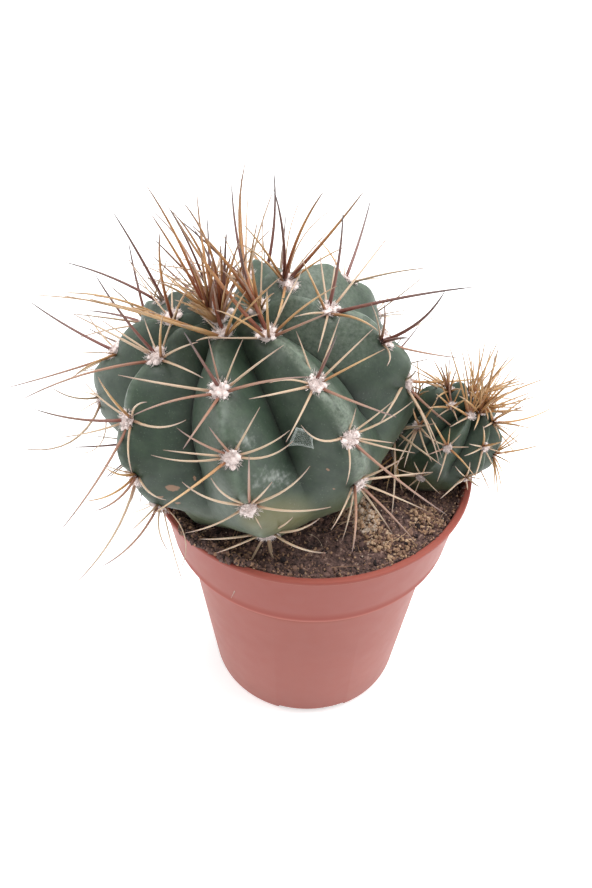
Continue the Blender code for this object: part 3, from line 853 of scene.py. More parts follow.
def joined(name, placed, surface, along=False, smooth_shaded=True):
    """One mesh from many moved copies of small bmeshes, each with its shade number on every
    point and, for needles, how far along the needle the point is."""
    points = []
    faces = []
    marks = {"shade": [], "along": []}
    for source, spots, shade in placed:
        first = len(points)
        points.extend(spots)
        faces.extend([[first + vert.index for vert in face.verts] for face in source.faces])
        marks["shade"].extend([shade] * len(spots))
        if along:
            marks["along"].extend([vert.co.z for vert in source.verts])
    mesh = bpy.data.meshes.new(name)
    mesh.from_pydata(points, [], faces)
    for kind, values in marks.items():
        if values:
            mesh.attributes.new(kind, "FLOAT", "POINT").data.foreach_set("value", values)
    return new_object(name, mesh, surface, smooth_shaded)


def lump_spots(source, middle, axes, radii, draw):
    """The points of a soft uneven lump with its own three half sizes along three axes."""
    shift = Vector([draw.uniform(0, 50) for _ in range(3)])
    spots = []
    for vert in source.verts:
        rough = 1 + 0.30 * noise.noise(vert.co * 1.8 + shift)
        offsets = (axis * part * radius * rough for axis, part, radius in zip(axes, vert.co, radii))
        spots.append(middle + sum(offsets, Vector()))
    return spots


def wool_pads(name, areoles, size, seed):
    """A low felt bed for each areole, with a ring of soft lumps and short hairs, in one piece."""
    draw = random.Random(seed)
    lump = bmesh.new()
    bmesh.ops.create_icosphere(lump, subdivisions=2, radius=1.0)
    hair = bmesh.new()
    bmesh.ops.create_cone(hair, cap_ends=True, segments=3, radius1=1.0, radius2=0.3, depth=1.0)
    placed = []
    for theta, point, out, up, right in areoles.values():
        if point.z < SOIL_LEVEL - 0.002:
            continue
        young = exp(-theta / YOUNG_WITHIN)
        wider = FIRST_ONE_WIDER if theta < FIRST_ONE_WITHIN else 1.0
        wide = size * (0.84 + 0.30 * young) * wider
        axes = (right, up, out)
        radii = (0.72 * wide, 0.80 * wide, 0.26 * wide)
        bed = lump_spots(lump, point - out * 0.10 * wide, axes, radii, draw)
        placed.append((lump, bed, 0.35 + 0.4 * young))
        for index in range(WOOL_LUMPS):
            turn = 2 * pi * index / WOOL_LUMPS + draw.uniform(-0.3, 0.3)
            off = wide * draw.uniform(0.20, 0.74)
            middle = point + (right * cos(turn) + up * 1.15 * sin(turn)) * off + out * 0.10 * wide
            radius = wide * draw.uniform(0.13, 0.27)
            spots = lump_spots(lump, middle, axes, (radius, radius, 0.8 * radius), draw)
            placed.append((lump, spots, draw.uniform(0.4, 0.8) + 0.4 * young))
        for _ in range(WOOL_HAIRS):
            turn = draw.uniform(0, 2 * pi)
            off = sqrt(draw.random())
            along = right * cos(turn) + up * sin(turn)
            root = point + along * off * wide * 0.9 + out * 0.26 * wide * (1 - off * off)
            lean = along * (0.3 + 1.2 * off) + out * draw.uniform(0.3, 1.2)
            lean += Vector([draw.uniform(-0.5, 0.5) for _ in range(3)])
            lean.normalize()
            long = wide * draw.uniform(0.18, 0.46)
            thick = HAIR_RADIUS + HAIR_SPREAD * draw.random()
            side = lean.orthogonal().normalized()
            other = lean.cross(side)
            spots = [
                root + lean * long * (vert.co.z + 0.5) + side * vert.co.x * thick
                + other * vert.co.y * thick
                for vert in hair.verts
            ]
            placed.append((hair, spots, 0.5 + 0.6 * draw.random()))
    return joined(name, placed, wool)


wool, tree, shader = new_material("areole_wool")
tuft = times(tree, noise_node(tree, 3200, 3.0), 0.5)
felt = times(tree, math_node(tree, "ADD", tuft, mark_node(tree, "shade")), 0.7)
set_inputs(shader, {
    "Base Color": ramp_node(tree, felt, [(0.40, WOOL_GREY), (0.85, WOOL_WHITE)]),
    "Roughness": 0.9,
    "Sheen Weight": 0.5,
    "Normal": bump_node(tree, noise_node(tree, 5000, 2.0), 0.5, 0.0002),
})

for name, found, size, seed in (
    ("main_areole_wool", main_areoles, MAIN_AREOLE, 11),
    ("offset_areole_wool", offset_areoles, OFFSET_AREOLE, 12),
):
    pads = wool_pads(name, found, size, seed)
    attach(pads, "root")
    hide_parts("main_stem" if found is main_areoles else "offset_stem")


# Spines of the main stem: stiff horny needles, round in section. Each areole has a ring of
# cream radials and one to three longer dark centrals; those at the crown are gold and brown.
# Those that the photograph shows are led to the pixels of their tips, read off one by one.
NEEDLE_SIDES = 7
NEEDLE_RINGS = 9
RADIAL_RADIUS = 0.00034
CENTRAL_RADIUS = 0.00044
NEEDLE_TAPER = 0.55
SPINE_SINK = 0.0009
SPINE_BOW = 0.06
ROOT_RING = 0.0007
ENOUGH_SPINES = 8
# How a tip is sought along its sight line: steps each way, a step, and how much a length in
# metres and a lift in degrees may be off
TIP_STEPS = 60
TIP_STEP = 0.0006
LENGTH_SLACK = 0.008
LIFT_SLACK = 16
# Spines by rule: how fast they age with the angle from the crown, the lift of an old radial and
# central and what youth adds, the lengths of radials up, sideways and down, and of centrals
YOUNG_SPINES_WITHIN = 32
RADIAL_LIFT = (17, 42)
CENTRAL_LIFT = (50, 14)
RADIAL_LENGTHS = (0.013, 0.022, 0.019)
CENTRAL_LENGTH = (0.021, 0.016)
TRIES = 4
LIFT_PER_TRY = 14
CLEARANCE = 0.001
# Kinds of spine: usual length, lift from the skin in degrees, radius and tone of horn
KINDS = dict(
    fine=dict(length=0.018, lift=35, radius=0.00022, tone=0.10),
    cream=dict(length=0.019, lift=20, radius=RADIAL_RADIUS, tone=0.06),
    gold=dict(length=0.024, lift=42, radius=RADIAL_RADIUS, tone=0.38),
    blade=dict(length=0.014, lift=40, radius=0.00085, tone=0.40),
    rosy=dict(length=0.025, lift=32, radius=0.00035, tone=0.64),
    dark=dict(length=0.026, lift=58, radius=CENTRAL_RADIUS, tone=0.95),
    brown=dict(length=0.036, lift=62, radius=CENTRAL_RADIUS, tone=0.79),
)

# Tones of horn: the shades over which each takes over from the one before, then its screen
# colours from root to tip. They are cream, gold, rosy, brown and dark.
HORN_TONES = (
    (None,
     (0.08, 178, 132, 106), (0.26, 212, 184, 154), (0.70, 218, 194, 168), (1, 170, 146, 132)),
    ((0.18, 0.34),
     (0.08, 166, 108, 74), (0.35, 208, 160, 106), (0.75, 222, 186, 140), (1, 180, 152, 128)),
    ((0.46, 0.58),
     (0.08, 150, 96, 76), (0.35, 180, 138, 116), (0.75, 180, 148, 132), (1, 138, 114, 108)),
    ((0.69, 0.75),
     (0.08, 140, 74, 56), (0.30, 172, 106, 74), (0.65, 200, 148, 94), (1, 142, 116, 100)),
    ((0.85, 0.92),
     (0.08, 130, 72, 62), (0.35, 138, 92, 82), (0.75, 130, 104, 98), (1, 108, 98, 98)),
)

# For each areole, (rib, number): groups of spines of one kind, each read as the pixel of its
# tip and, where it bends, also the pixel of a place on its way
PHOTO_SPINES = {
    (3, 0): (
        ("brown", (197, 193, 208, 275)), ("gold", (32, 295, 159, 316), (60, 295, 155, 317),
        (83, 297, 150, 316), (106, 301, 163, 320), (130, 308, 172, 322)), ("blade", (181, 325)),
        ("gold", (281, 277, 256, 300), (246, 291), (259, 314, 244, 320)), ("cream", (187, 301),
        (196, 341)), ("gold", (241, 301))
    ),
    (4, 0): (
        ("brown", (245, 163, 243, 260), (171, 210, 227, 292)), ("gold", (267, 290),
        (337, 286, 305, 306)), ("cream", (304, 267, 284, 305)), ("rosy", (334, 311, 300, 325)),
        ("cream", (208, 338, 238, 338)), ("gold", (216, 310, 238, 319), (239, 246, 252, 285))
    ),
    (2, 0): (
        ("brown", (183, 202, 210, 250), (240, 240, 229, 275)), ("gold", (153, 265, 185, 292),
        (165, 273, 190, 294)), ("blade", (186, 296), (190, 302), (197, 309), (194, 292),
        (188, 308)), ("gold", (175, 300), (226, 285)), ("rosy", (213, 283), (233, 288)),
        ("gold", (239, 292)), ("dark", (226, 233, 224, 280), (193, 227, 213, 270)),
        ("brown", (173, 212, 205, 262))
    ),
    (5, 0): (
        ("brown", (192, 225, 226, 262)), ("dark", (240, 245, 247, 280)), ("gold", (228, 291),
        (263, 290)), ("cream", (236, 303)), ("gold", (274, 293)), ("rosy", (243, 280)),
        ("fine", (263, 211, 262, 260)), ("brown", (252, 262), (236, 266), (222, 270))
    ),
    (0, 0): (
        ("brown", (146, 185, 183, 250), (151, 214, 180, 260)), ("rosy", (152, 210, 183, 246)),
        ("gold", (160, 282), (188, 291), (184, 305)), ("rosy", (214, 280)), ("brown", (200, 248),
        (213, 256), (190, 262)), ("gold", (203, 270))
    ),
    (8, 0): (
        ("fine", (222, 232, 220, 262)), ("rosy", (227, 233, 224, 265)), ("gold", (208, 268),
        (236, 286), (197, 281)), ("brown", (220, 246, 222, 272)), ("dark", (206, 240, 216, 270)),
        ("brown", (247, 252, 237, 278), (231, 255))
    ),
    (1, 0): (
        ("brown", (160, 231, 163, 285)), ("cream", (172, 280)), ("gold", (187, 291),
        (92, 296, 130, 303), (60, 293, 112, 298)), ("cream", (148, 312)), ("gold", (131, 307)),
        ("fine", (125, 253, 144, 284))
    ),
    (0, 1): (
        ("dark", (113, 212, 147, 269), (64, 262, 100, 273)), ("fine", (131, 278),
        (125, 254, 145, 281), (142, 268))
    ),
    (1, 1): (
        ("dark", (29, 301, 62, 323)), ("rosy", (6, 388, 60, 373)), ("cream", (86, 312, 98, 330),
        (66, 381, 86, 369)), ("fine", (69, 354)), ("gold", (76, 374))
    ),
    (2, 1): (
        ("dark", (95, 274, 130, 325)), ("cream", (98, 318, 127, 337), (71, 313, 108, 332)),
        ("rosy", (21, 400, 75, 377)), ("cream", (198, 342), (203, 378, 178, 366), (144, 318),
        (188, 291, 170, 326)), ("gold", (163, 313))
    ),
    (1, 2): (
        ("cream", (51, 387, 76, 398)), ("fine", (73, 389), (89, 394)),
        ("cream", (19, 448, 72, 441)), ("fine", (73, 417), (66, 452, 92, 451))
    ),
    (2, 2): (
        ("dark", (34, 409, 70, 418)), ("cream", (147, 402, 135, 407), (186, 420, 155, 427),
        (132, 473, 128, 448)), ("rosy", (60, 531, 102, 473)), ("cream", (83, 381, 105, 402)),
        ("gold", (98, 377, 113, 400)), ("cream", (57, 438, 96, 431))
    ),
    (2, 3): (
        ("cream", (166, 500, 149, 492)), ("rosy", (95, 511, 118, 499)),
        ("cream", (76, 583, 116, 531)), ("gold", (105, 467, 122, 475), (86, 501, 112, 494)),
        ("fine", (99, 462))
    ),
    (2, 4): (
        ("rosy", (101, 567, 133, 543)), ("cream", (131, 531), (169, 552, 159, 530)),
        ("fine", (183, 583, 173, 550), (128, 514), (140, 504), (180, 571, 186, 546))
    ),
    (3, 1): (
        ("dark", (184, 332)), ("rosy", (208, 337)), ("cream", (243, 339), (284, 345)),
        ("rosy", (311, 377, 268, 381), (183, 449, 205, 417), (130, 417, 180, 399)),
        ("cream", (118, 375, 165, 384))
    ),
    (3, 2): (
        ("rosy", (177, 428, 202, 444), (209, 427)), ("cream", (260, 407), (290, 430, 263, 447),
        (293, 441, 265, 457)), ("gold", (151, 515, 190, 489)), ("cream", (151, 455, 185, 461),
        (163, 450))
    ),
    (3, 3): (
        ("rosy", (249, 455)), ("cream", (211, 478, 228, 497), (182, 482, 213, 500), (272, 482),
        (310, 466, 282, 492), (331, 507, 290, 511), (185, 533, 216, 524), (262, 529))
    ),
    (3, 4): (
        ("cream", (200, 539, 230, 538), (216, 553, 240, 544), (293, 517, 278, 528),
        (320, 518, 293, 531), (326, 553, 292, 545), (276, 574), (231, 598, 248, 566),
        (297, 576, 273, 558)),
    ),
    (4, 1): (
        ("dark", (337, 335)), ("cream", (296, 331), (340, 317), (373, 329)), ("gold", (385, 349)),
        ("rosy", (396, 417, 352, 401)), ("cream", (286, 442, 302, 412), (249, 399, 284, 392),
        (269, 383, 293, 380))
    ),
    (4, 2): (
        ("cream", (356, 408), (393, 401), (413, 401, 378, 424), (394, 443), (415, 453, 380, 446)),
        ("rosy", (447, 515, 398, 480)), ("cream", (346, 485, 350, 464), (301, 425, 324, 441))
    ),
    (4, 3): (
        ("cream", (404, 457), (433, 472, 395, 476), (427, 511, 393, 496)),
        ("rosy", (419, 547, 390, 514)), ("cream", (394, 536, 375, 508)),
        ("rosy", (352, 552, 356, 515)), ("cream", (331, 530, 345, 505), (342, 541, 350, 512))
    ),
    (5, 1): (
        ("dark", (343, 211, 338, 265), (474, 287, 400, 298)), ("gold", (300, 256, 308, 272)),
        ("cream", (319, 248, 322, 270), (391, 233, 360, 273)), ("gold", (378, 331, 358, 319)),
        ("cream", (336, 256), (318, 352), (294, 317))
    ),
    (5, 2): (
        ("dark", (445, 291, 420, 321)), ("rosy", (384, 304)), ("dark", (408, 338)),
        ("rosy", (460, 358, 420, 352)), ("cream", (387, 366, 390, 356)),
        ("fine", (443, 313, 422, 323), (371, 303))
    ),
    (6, 2): (
        ("fine", (431, 270, 399, 296), (415, 309), (416, 314), (409, 319), (385, 287), (393, 292)),
    ),
    (5, 3): (
        ("cream", (439, 463, 423, 417), (442, 458, 426, 420)), ("rosy", (478, 445, 445, 421)),
        ("gold", (488, 377, 456, 381)), ("cream", (446, 394, 430, 384), (416, 370),
        (380, 423, 393, 403))
    ),
    (6, 0): (
        ("dark", (274, 190, 284, 245)), ("brown", (324, 191, 303, 226)),
        ("fine", (304, 192, 288, 240), (338, 206, 303, 237)), ("brown", (364, 191, 323, 242)),
        ("gold", (347, 246, 323, 258), (243, 224, 270, 258), (244, 245, 270, 266), (275, 325))
    ),
    (6, 1): (
        ("dark", (371, 198, 360, 238)), ("cream", (427, 268, 385, 274), (383, 279)),
        ("gold", (313, 235, 332, 256)), ("fine", (344, 248))
    ),
    (7, 1): (
        ("dark", (274, 172, 274, 224)), ("fine", (262, 220)), ("gold", (236, 240, 254, 256))
    ),
}


def needle_template(sides, rings):
    """A unit needle up Z: a tube of radius 1 and height 1 with evenly spaced rings."""
    bm = bmesh.new()
    bmesh.ops.create_cone(
        bm, cap_ends=True, segments=sides, radius1=1.0, radius2=1.0, depth=1.0,
        matrix=Matrix.Translation((0, 0, 0.5)),
    )
    for ring in range(1, rings):
        bmesh.ops.bisect_plane(
            bm, geom=bm.verts[:] + bm.edges[:] + bm.faces[:],
            plane_co=(0, 0, (ring / rings) ** 0.8), plane_no=(0, 0, 1),
        )
    bm.verts.index_update()
    return bm


def bent_needle(template, root, control, tip, radius):
    """The template's points bent along a curve from root to tip, tapered to a fine point."""
    spots = []
    for vert in template.verts:
        s = vert.co.z
        at = root * (1 - s) ** 2 + control * 2 * s * (1 - s) + tip * s * s
        tangent = ((control - root) * (1 - s) + (tip - control) * s).normalized()
        side = tangent.cross(Vector((0.31, 0.17, 0.93))).normalized()
        other = tangent.cross(side)
        foot = 0.18 * exp(-((s / 0.06) ** 2))
        thick = radius * (0.14 + 0.86 * (1 - s) ** NEEDLE_TAPER + foot)
        spots.append(at + (side * vert.co.x + other * vert.co.y) * thick)
    return spots


def seen_tip(areole, length, lift, pixel):
    """The point behind a pixel whose reach and lift from the areole best suit this spine."""
    _, point, out, _, _ = areole
    line = sight_line(pixel)
    nearest = (point - camera_place).dot(line)
    best = None
    for step in range(-TIP_STEPS, TIP_STEPS + 1):
        tip = camera_place + line * (nearest + step * TIP_STEP)
        reach = tip - point
        rise = 90 - degrees(acos(min(max(reach.normalized().dot(out), -1.0), 1.0)))
        cost = ((reach.length - length) / LENGTH_SLACK) ** 2 + ((rise - lift) / LIFT_SLACK) ** 2
        if best is None or cost < best[0]:
            best = (cost, tip)
    return best[1]


def photo_spine(template, areole, kind_name, tip_pixel, way_pixel, scale, draw):
    """A spine led through the pixels read for it; between them it bends as little as it can."""
    kind = KINDS[kind_name]
    point, out = areole[1], areole[2]
    tip = seen_tip(areole, kind["length"] * scale, kind["lift"], tip_pixel)
    reach = tip - point
    along = (reach - out * reach.dot(out)).normalized()
    root = point - out * SPINE_SINK * scale + along * ROOT_RING * scale
    control = (root + tip) / 2 + out * SPINE_BOW * reach.length
    if way_pixel:
        line = sight_line(way_pixel)
        start = seen_pixel(root)
        first = hypot(way_pixel[0] - start[0], way_pixel[1] - start[1])
        second = hypot(way_pixel[0] - tip_pixel[0], way_pixel[1] - tip_pixel[1])
        s = min(max(first / (first + second), 0.25), 0.75)
        straight = root * (1 - s) ** 2 + control * 2 * s * (1 - s) + tip * s * s
        way = camera_place + line * (straight - camera_place).dot(line)
        control = (way - root * (1 - s) ** 2 - tip * s * s) / (2 * s * (1 - s))
    shade = kind["tone"] + draw.uniform(-0.05, 0.07)
    stout = min(1.1, 0.62 + reach.length / 0.055 / scale)
    radius = kind["radius"] * scale ** 0.25 * stout * draw.uniform(0.92, 1.06)
    return template, bent_needle(template, root, control, tip, radius), shade


def ruled_spines(template, areole, counts, scale, draw, clear):
    """The spines of an areole that the photograph doesn't show: radials round it, then centrals."""
    theta, point, out, up, right = areole
    young = exp(-theta / YOUNG_SPINES_WITHIN)
    made = []
    plans = []
    radials, centrals = counts
    for index in range(radials):
        clock = 360 * (index + 0.5) / radials + draw.uniform(-10, 10)
        lift = RADIAL_LIFT[0] + RADIAL_LIFT[1] * young + draw.uniform(-6, 6)
        upward = 0.5 + 0.5 * cos(radians(clock))
        at_top, at_side, at_foot = RADIAL_LENGTHS
        level = upward * at_top + (1 - upward) * at_foot
        length = level + (at_side - level) * abs(sin(radians(clock)))
        length *= draw.uniform(0.8, 1.15)
        tone = min(0.05 + 0.4 * young + 0.28 * (scale < 1), 0.42)
        plans.append((clock, lift, length, RADIAL_RADIUS, tone))
    for index in range(centrals):
        clock = draw.uniform(-30, 30) if index == 0 else draw.uniform(40, 320)
        length = (CENTRAL_LENGTH[0] + CENTRAL_LENGTH[1] * young) * draw.uniform(0.85, 1.1)
        length *= 1.0 if index == 0 else 0.85
        lift = CENTRAL_LIFT[0] + CENTRAL_LIFT[1] * young
        tone = 0.95 - 0.15 * young if scale == 1 else 0.42
        plans.append((clock, lift, length, CENTRAL_RADIUS, tone))
    for clock, lift, length, radius, tone in plans:
        length *= scale
        for _ in range(TRIES):
            aim = cos(radians(lift)) * (cos(radians(clock)) * up + sin(radians(clock)) * right)
            aim += sin(radians(lift)) * out
            tip = point + aim.normalized() * length
            if clear(point, tip):
                break
            lift += LIFT_PER_TRY
        else:
            continue
        root = point - out * SPINE_SINK * scale
        bend = out * SPINE_BOW * length + right * draw.uniform(-0.05, 0.05) * length
        control = (root + tip) / 2 + bend
        shade = tone + draw.uniform(-0.06, 0.08)
        thick = radius * sqrt(scale) * draw.uniform(0.85, 1.05)
        made.append((template, bent_needle(template, root, control, tip, thick), shade))
    return made


def inside_stem(stem, place, margin):
    """True where a point lies within the stem's rounded outline grown by a margin."""
    local = axes_of(stem["tilt"]).transposed() @ (place - Vector(stem["centre"]))
    height = stem["top"] if local.z > 0 else stem["bottom"]
    reach = stem["radius"] + margin
    return hypot(local.x / reach, local.y / reach, local.z / (height + margin)) < 1


def clear_of(other_stem):
    """A test for spines: clear of the soil, of the pot's wall and of the other stem."""
    def test(start, end):
        for step in range(3, 13):
            at = start.lerp(end, step / 12)
            radius = hypot(at.x, at.y)
            over_pot = radius < RIM_RADIUS + CLEARANCE
            if over_pot and at.z < SOIL_LEVEL + 2 * CLEARANCE:
                return False
            if over_pot and radius > RIM_RADIUS - 4 * CLEARANCE and at.z < POT_HEIGHT + CLEARANCE:
                return False
            if inside_stem(other_stem, at, CLEARANCE):
                return False
        return True
    return test


def unseen_and_clear(clear, *hiders):
    """The same test for a spine that must also stay behind the stems, out of the photo's sight."""
    def test(start, end):
        ray = end - camera_place
        reach = ray.length - 0.002
        hidden = any(hider.ray_cast(camera_place, ray.normalized(), reach)[0] for hider in hiders)
        return hidden and clear(start, end)
    return test


def spines_of(areoles, readings, scale, enough, counts_of, clear, hiders, draw):
    """All spines of a stem: the ones read in the photo, then ruled ones where it shows too few."""
    placed = []
    unseen = unseen_and_clear(clear, *hiders)
    for key, areole in areoles.items():
        groups = readings.get(key, ())
        read = [(kind, pixels) for kind, *spines in groups for pixels in spines]
        for kind, pixels in read:
            placed.append(
                photo_spine(spine_template, areole, kind, pixels[:2], pixels[2:], scale, draw)
            )
        if areole[1].z > SOIL_LEVEL + 0.004 and len(read) < enough(areole):
            test = unseen if read and len(read) < ENOUGH_SPINES else clear
            placed += ruled_spines(spine_template, areole, counts_of(areole), scale, draw, test)
    return placed


horn, tree, shader = new_material("spine_horn")
shade = mark_node(tree, "shade")
streak = times(tree, noise_node(tree, 900, 2.0), 0.10)
place = math_node(tree, "ADD", mark_node(tree, "along"), streak)
for span, *stops in HORN_TONES:
    tone = ramp_node(tree, place, [(at, colour(*screen)) for at, *screen in stops])
    mixed = blend_node(tree, mask_node(tree, shade, *span), mixed, tone) if span else tone
set_inputs(shader, {
    "Base Color": mixed,
    "Roughness": 0.42,
    "Subsurface Weight": 0.15,
    "Subsurface Radius": (0.0004, 0.0002, 0.0001),
    "Subsurface Scale": 1.0,
})


def main_counts(areole):
    """How many radials and centrals an areole has by rule."""
    return 8, 3 if areole[0] < 36 else 2


def main_enough(areole):
    return ENOUGH_SPINES


spine_template = needle_template(NEEDLE_SIDES, NEEDLE_RINGS)
skin_trees = (skin_tree, solid_tree(offset_skin))
placed = spines_of(
    main_areoles, PHOTO_SPINES, 1.0, main_enough, main_counts, clear_of(OFFSET), skin_trees,
    random.Random(7),
)
main_spines = joined("main_stem_spines", placed, horn, along=True)
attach(main_spines, "root")
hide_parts("main_stem")


# Spines of the offset: the same needles at about half the size, closer together and more
# golden, because the head is young
OFFSET_SCALE = 0.58
OFFSET_PHOTO_SPINES = {
    (0, 0): (
        ("gold", (449, 346, 463, 392), (493, 344, 480, 385), (462, 367), (474, 357)),
        ("cream", (450, 427)), ("gold", (484, 400), (446, 404), (488, 384))
    ),
    (1, 0): (
        ("gold", (521, 352, 488, 389), (512, 381, 490, 401), (500, 372), (468, 380), (495, 398),
        (459, 396), (482, 376), (474, 430)),
    ),
    (3, 0): (
        ("gold", (527, 404, 500, 412), (508, 392), (503, 408), (477, 380), (496, 383), (469, 391),
        (488, 420), (514, 366, 497, 390)),
    ),
    (2, 0): (
        ("gold", (555, 406, 515, 421)), ("cream", (513, 432), (510, 437)), ("gold", (504, 412)),
        ("cream", (483, 428)), ("gold", (487, 406)), ("cream", (500, 440)), ("gold", (519, 425))
    ),
    (1, 1): (
        ("cream", (469, 444), (493, 447), (473, 482)), ("fine", (520, 458)), ("cream", (464, 456)),
        ("gold", (483, 426)), ("cream", (494, 468)), ("gold", (503, 441))
    ),
    (0, 1): (
        ("gold", (450, 428), (431, 418)), ("cream", (424, 435), (461, 434), (469, 447)),
        ("gold", (475, 477, 465, 464)), ("cream", (437, 482, 442, 468)), ("rosy", (427, 455))
    ),
    (7, 0): (
        ("rosy", (450, 356, 449, 382)), ("gold", (436, 394), (428, 408)), ("cream", (437, 417),
        (458, 422)), ("gold", (467, 399), (462, 385), (439, 380))
    ),
    (7, 1): (
        ("cream", (380, 430), (398, 447), (432, 462, 424, 445), (394, 472), (404, 468),
        (436, 445, 426, 434)), ("gold", (438, 397, 430, 411), (413, 408))
    ),
    (0, 2): (
        ("cream", (433, 472), (440, 494), (380, 477, 399, 476), (414, 462), (404, 490), (428, 461)),
        ("fine", (412, 500), (395, 468))
    ),
    (1, 2): (
        ("cream", (456, 484), (440, 499, 450, 490), (483, 470), (470, 462), (480, 487)),
        ("fine", (455, 466), (492, 480)), ("cream", (468, 494))
    ),
    (6, 0): (
        ("gold", (433, 359, 441, 374), (445, 362), (429, 384), (436, 399), (456, 370), (420, 378),
        (462, 390)), ("rosy", (440, 366))
    ),
    (6, 1): (
        ("gold", (417, 377), (424, 382), (407, 385), (429, 391)), ("cream", (398, 398)),
        ("gold", (411, 379), (421, 412)), ("cream", (403, 412))
    ),
    (5, 1): (
        ("gold", (441, 366), (452, 366), (432, 374), (461, 377)), ("fine", (447, 358)),
        ("gold", (424, 371))
    ),
}


def offset_counts(areole):
    return (7, 4) if areole[0] < 45 else (9, 1)


def offset_enough(areole):
    """The youngest areoles bristle with more spines than can be told apart in the photo."""
    return 2 * ENOUGH_SPINES if areole[0] < 20 else ENOUGH_SPINES


placed = spines_of(
    offset_areoles, OFFSET_PHOTO_SPINES, OFFSET_SCALE, offset_enough, offset_counts,
    clear_of(MAIN), skin_trees, random.Random(8),
)
offset_spines = joined("offset_stem_spines", placed, horn, along=True)
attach(offset_spines, "root")
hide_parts("offset_stem")


# Loose grains and fibres: crumbs of peat, pale grit and tan fibre that have been watered up,
# gathered in clumps beside the stems and spilt over the rim at the front left
CLUMPS = (
    # centre x and y, half width, height of the heap, number of grains, shade
    (0.0112, -0.0155, 0.0036, 0.0030, 420, 0.90),
    (0.0138, -0.0205, 0.0034, 0.0026, 400, 0.86),
    (0.0168, -0.0258, 0.0034, 0.0012, 240, 0.66),
    (0.0290, -0.0185, 0.0042, 0.0012, 300, 0.58),
    (0.0335, -0.0205, 0.0022, 0.0012, 90, 0.70),
    (0.0225, -0.0295, 0.0044, 0.0008, 260, 0.56),
    (-0.0190, -0.0320, 0.0050, 0.0008, 160, 0.50),
)
GRAIN_KINDS = (
    # count, smallest and largest size, how high it sits in sizes, darkest and palest shade
    (620, 0.0004, 0.0011, 0.15, 0.00, 0.38),
    (3900, 0.00014, 0.00038, 0.60, 0.02, 0.62),
    (420, 0.00012, 0.00026, 1.40, 0.55, 0.90),
)
FIBRES = 150
FIBRE_RADIUS = 0.00009
SPILT = 1500
SPILL_FROM = radians(-146)
SPILL_TO = radians(-109)
SPILL_SIZES = (0.0002, 0.0007)
SPILL_INNER_RADIUS = 0.0384
SPILL_OUTER_RADIUS = 0.0404
SPILL_MIDDLE_REACH = 0.0020
SPILL_UNEVEN = 0.0012
SPILL_HEAP = 0.0010
SPILL_BANK = (0.0374, 0.0028)
RIM_CRUMBS = 520
RIM_CRUMBS_FROM = radians(-150)
RIM_CRUMBS_TO = radians(-12)
RIM_CRUMB_SIZES = (0.00014, 0.00042)
RIM_CRUMB_RADII = (0.0392, 0.0401)
RIM_CRUMB_PATCH = 0.0012
RIM_CRUMB_BANK = (0.0380, 0.0022)
CLUMP_SIZES = (0.00018, 0.0006)
WALL_MARGIN = 0.0008
GRAIN_TAN = colour(186, 146, 114)
GRAIN_CREAM = colour(224, 190, 156)
GRAIN_PALE = colour(232, 212, 194)


def grain_spots(source, draw, place, size):
    """The points of one rough grain, stretched and turned at random."""
    turn = Matrix.Rotation(draw.uniform(0, 2 * pi), 3, "Z")
    turn = turn @ Matrix.Rotation(draw.uniform(0, pi), 3, "X")
    stretch = Vector([draw.uniform(0.35, 1.3) * size for _ in range(3)])
    spots = []
    for vert in source.verts:
        spots.append(place + turn @ (vert.co * stretch) * draw.uniform(0.75, 1.2))
    return spots


def open_soil(draw):
    """A random spot on the soil, away from both stems."""
    while True:
        radius = (soil_top - 0.0004) * sqrt(draw.random())
        turn = draw.uniform(0, 2 * pi)
        place = Vector((radius * cos(turn), radius * sin(turn), SOIL_LEVEL))
        if not any(inside_stem(stem, place, -0.0015) for stem in (MAIN, OFFSET)):
            return radius * cos(turn), radius * sin(turn)


def banked_level(radius, foot, width):
    """Level of the crumbs that bank up against the wall, from the soil to the pot's rim."""
    slope = min(max((radius - foot) / width, 0), 1)
    return SOIL_LEVEL + (POT_HEIGHT - SOIL_LEVEL) * slope


def rim_grain(turn, radius, height, size, palest, usual):
    """Puts one grain at an angle and a distance from the pot's axis, mostly of a usual shade."""
    place = Vector((radius * cos(turn), radius * sin(turn), height))
    spots = grain_spots(grain, draw, place, size)
    placed.append((grain, spots, draw.triangular(0.0, palest, usual)))


draw = random.Random(31)
grain = bmesh.new()
bmesh.ops.create_icosphere(grain, subdivisions=1, radius=1.0)
placed = []
for count, small, large, rise, darkest, palest in GRAIN_KINDS:
    for _ in range(count):
        x, y = open_soil(draw)
        size = draw.uniform(small, large)
        height = crumbly_height(x, y) + rise * size * draw.uniform(0.5, 1.5)
        spots = grain_spots(grain, draw, Vector((x, y, height)), size)
        placed.append((grain, spots, draw.uniform(darkest, palest)))
for x_mid, y_mid, half_width, heap, count, shade in CLUMPS:
    for _ in range(count):
        off = sqrt(draw.random())
        turn = draw.uniform(0, 2 * pi)
        x = x_mid + off * half_width * cos(turn)
        y = y_mid + 1.2 * off * half_width * sin(turn)
        if hypot(x, y) > soil_top - WALL_MARGIN:
            continue
        size = draw.uniform(*CLUMP_SIZES)
        lumpy = 0.5 + noise.noise(Vector((x, y, 0.7)) / 0.0012)
        height = crumbly_height(x, y) + heap * (1 - off * off) * max(lumpy, 0.0) + 0.4 * size
        spots = grain_spots(grain, draw, Vector((x, y, height)), size)
        placed.append((grain, spots, shade + draw.uniform(-0.38, 0.20)))
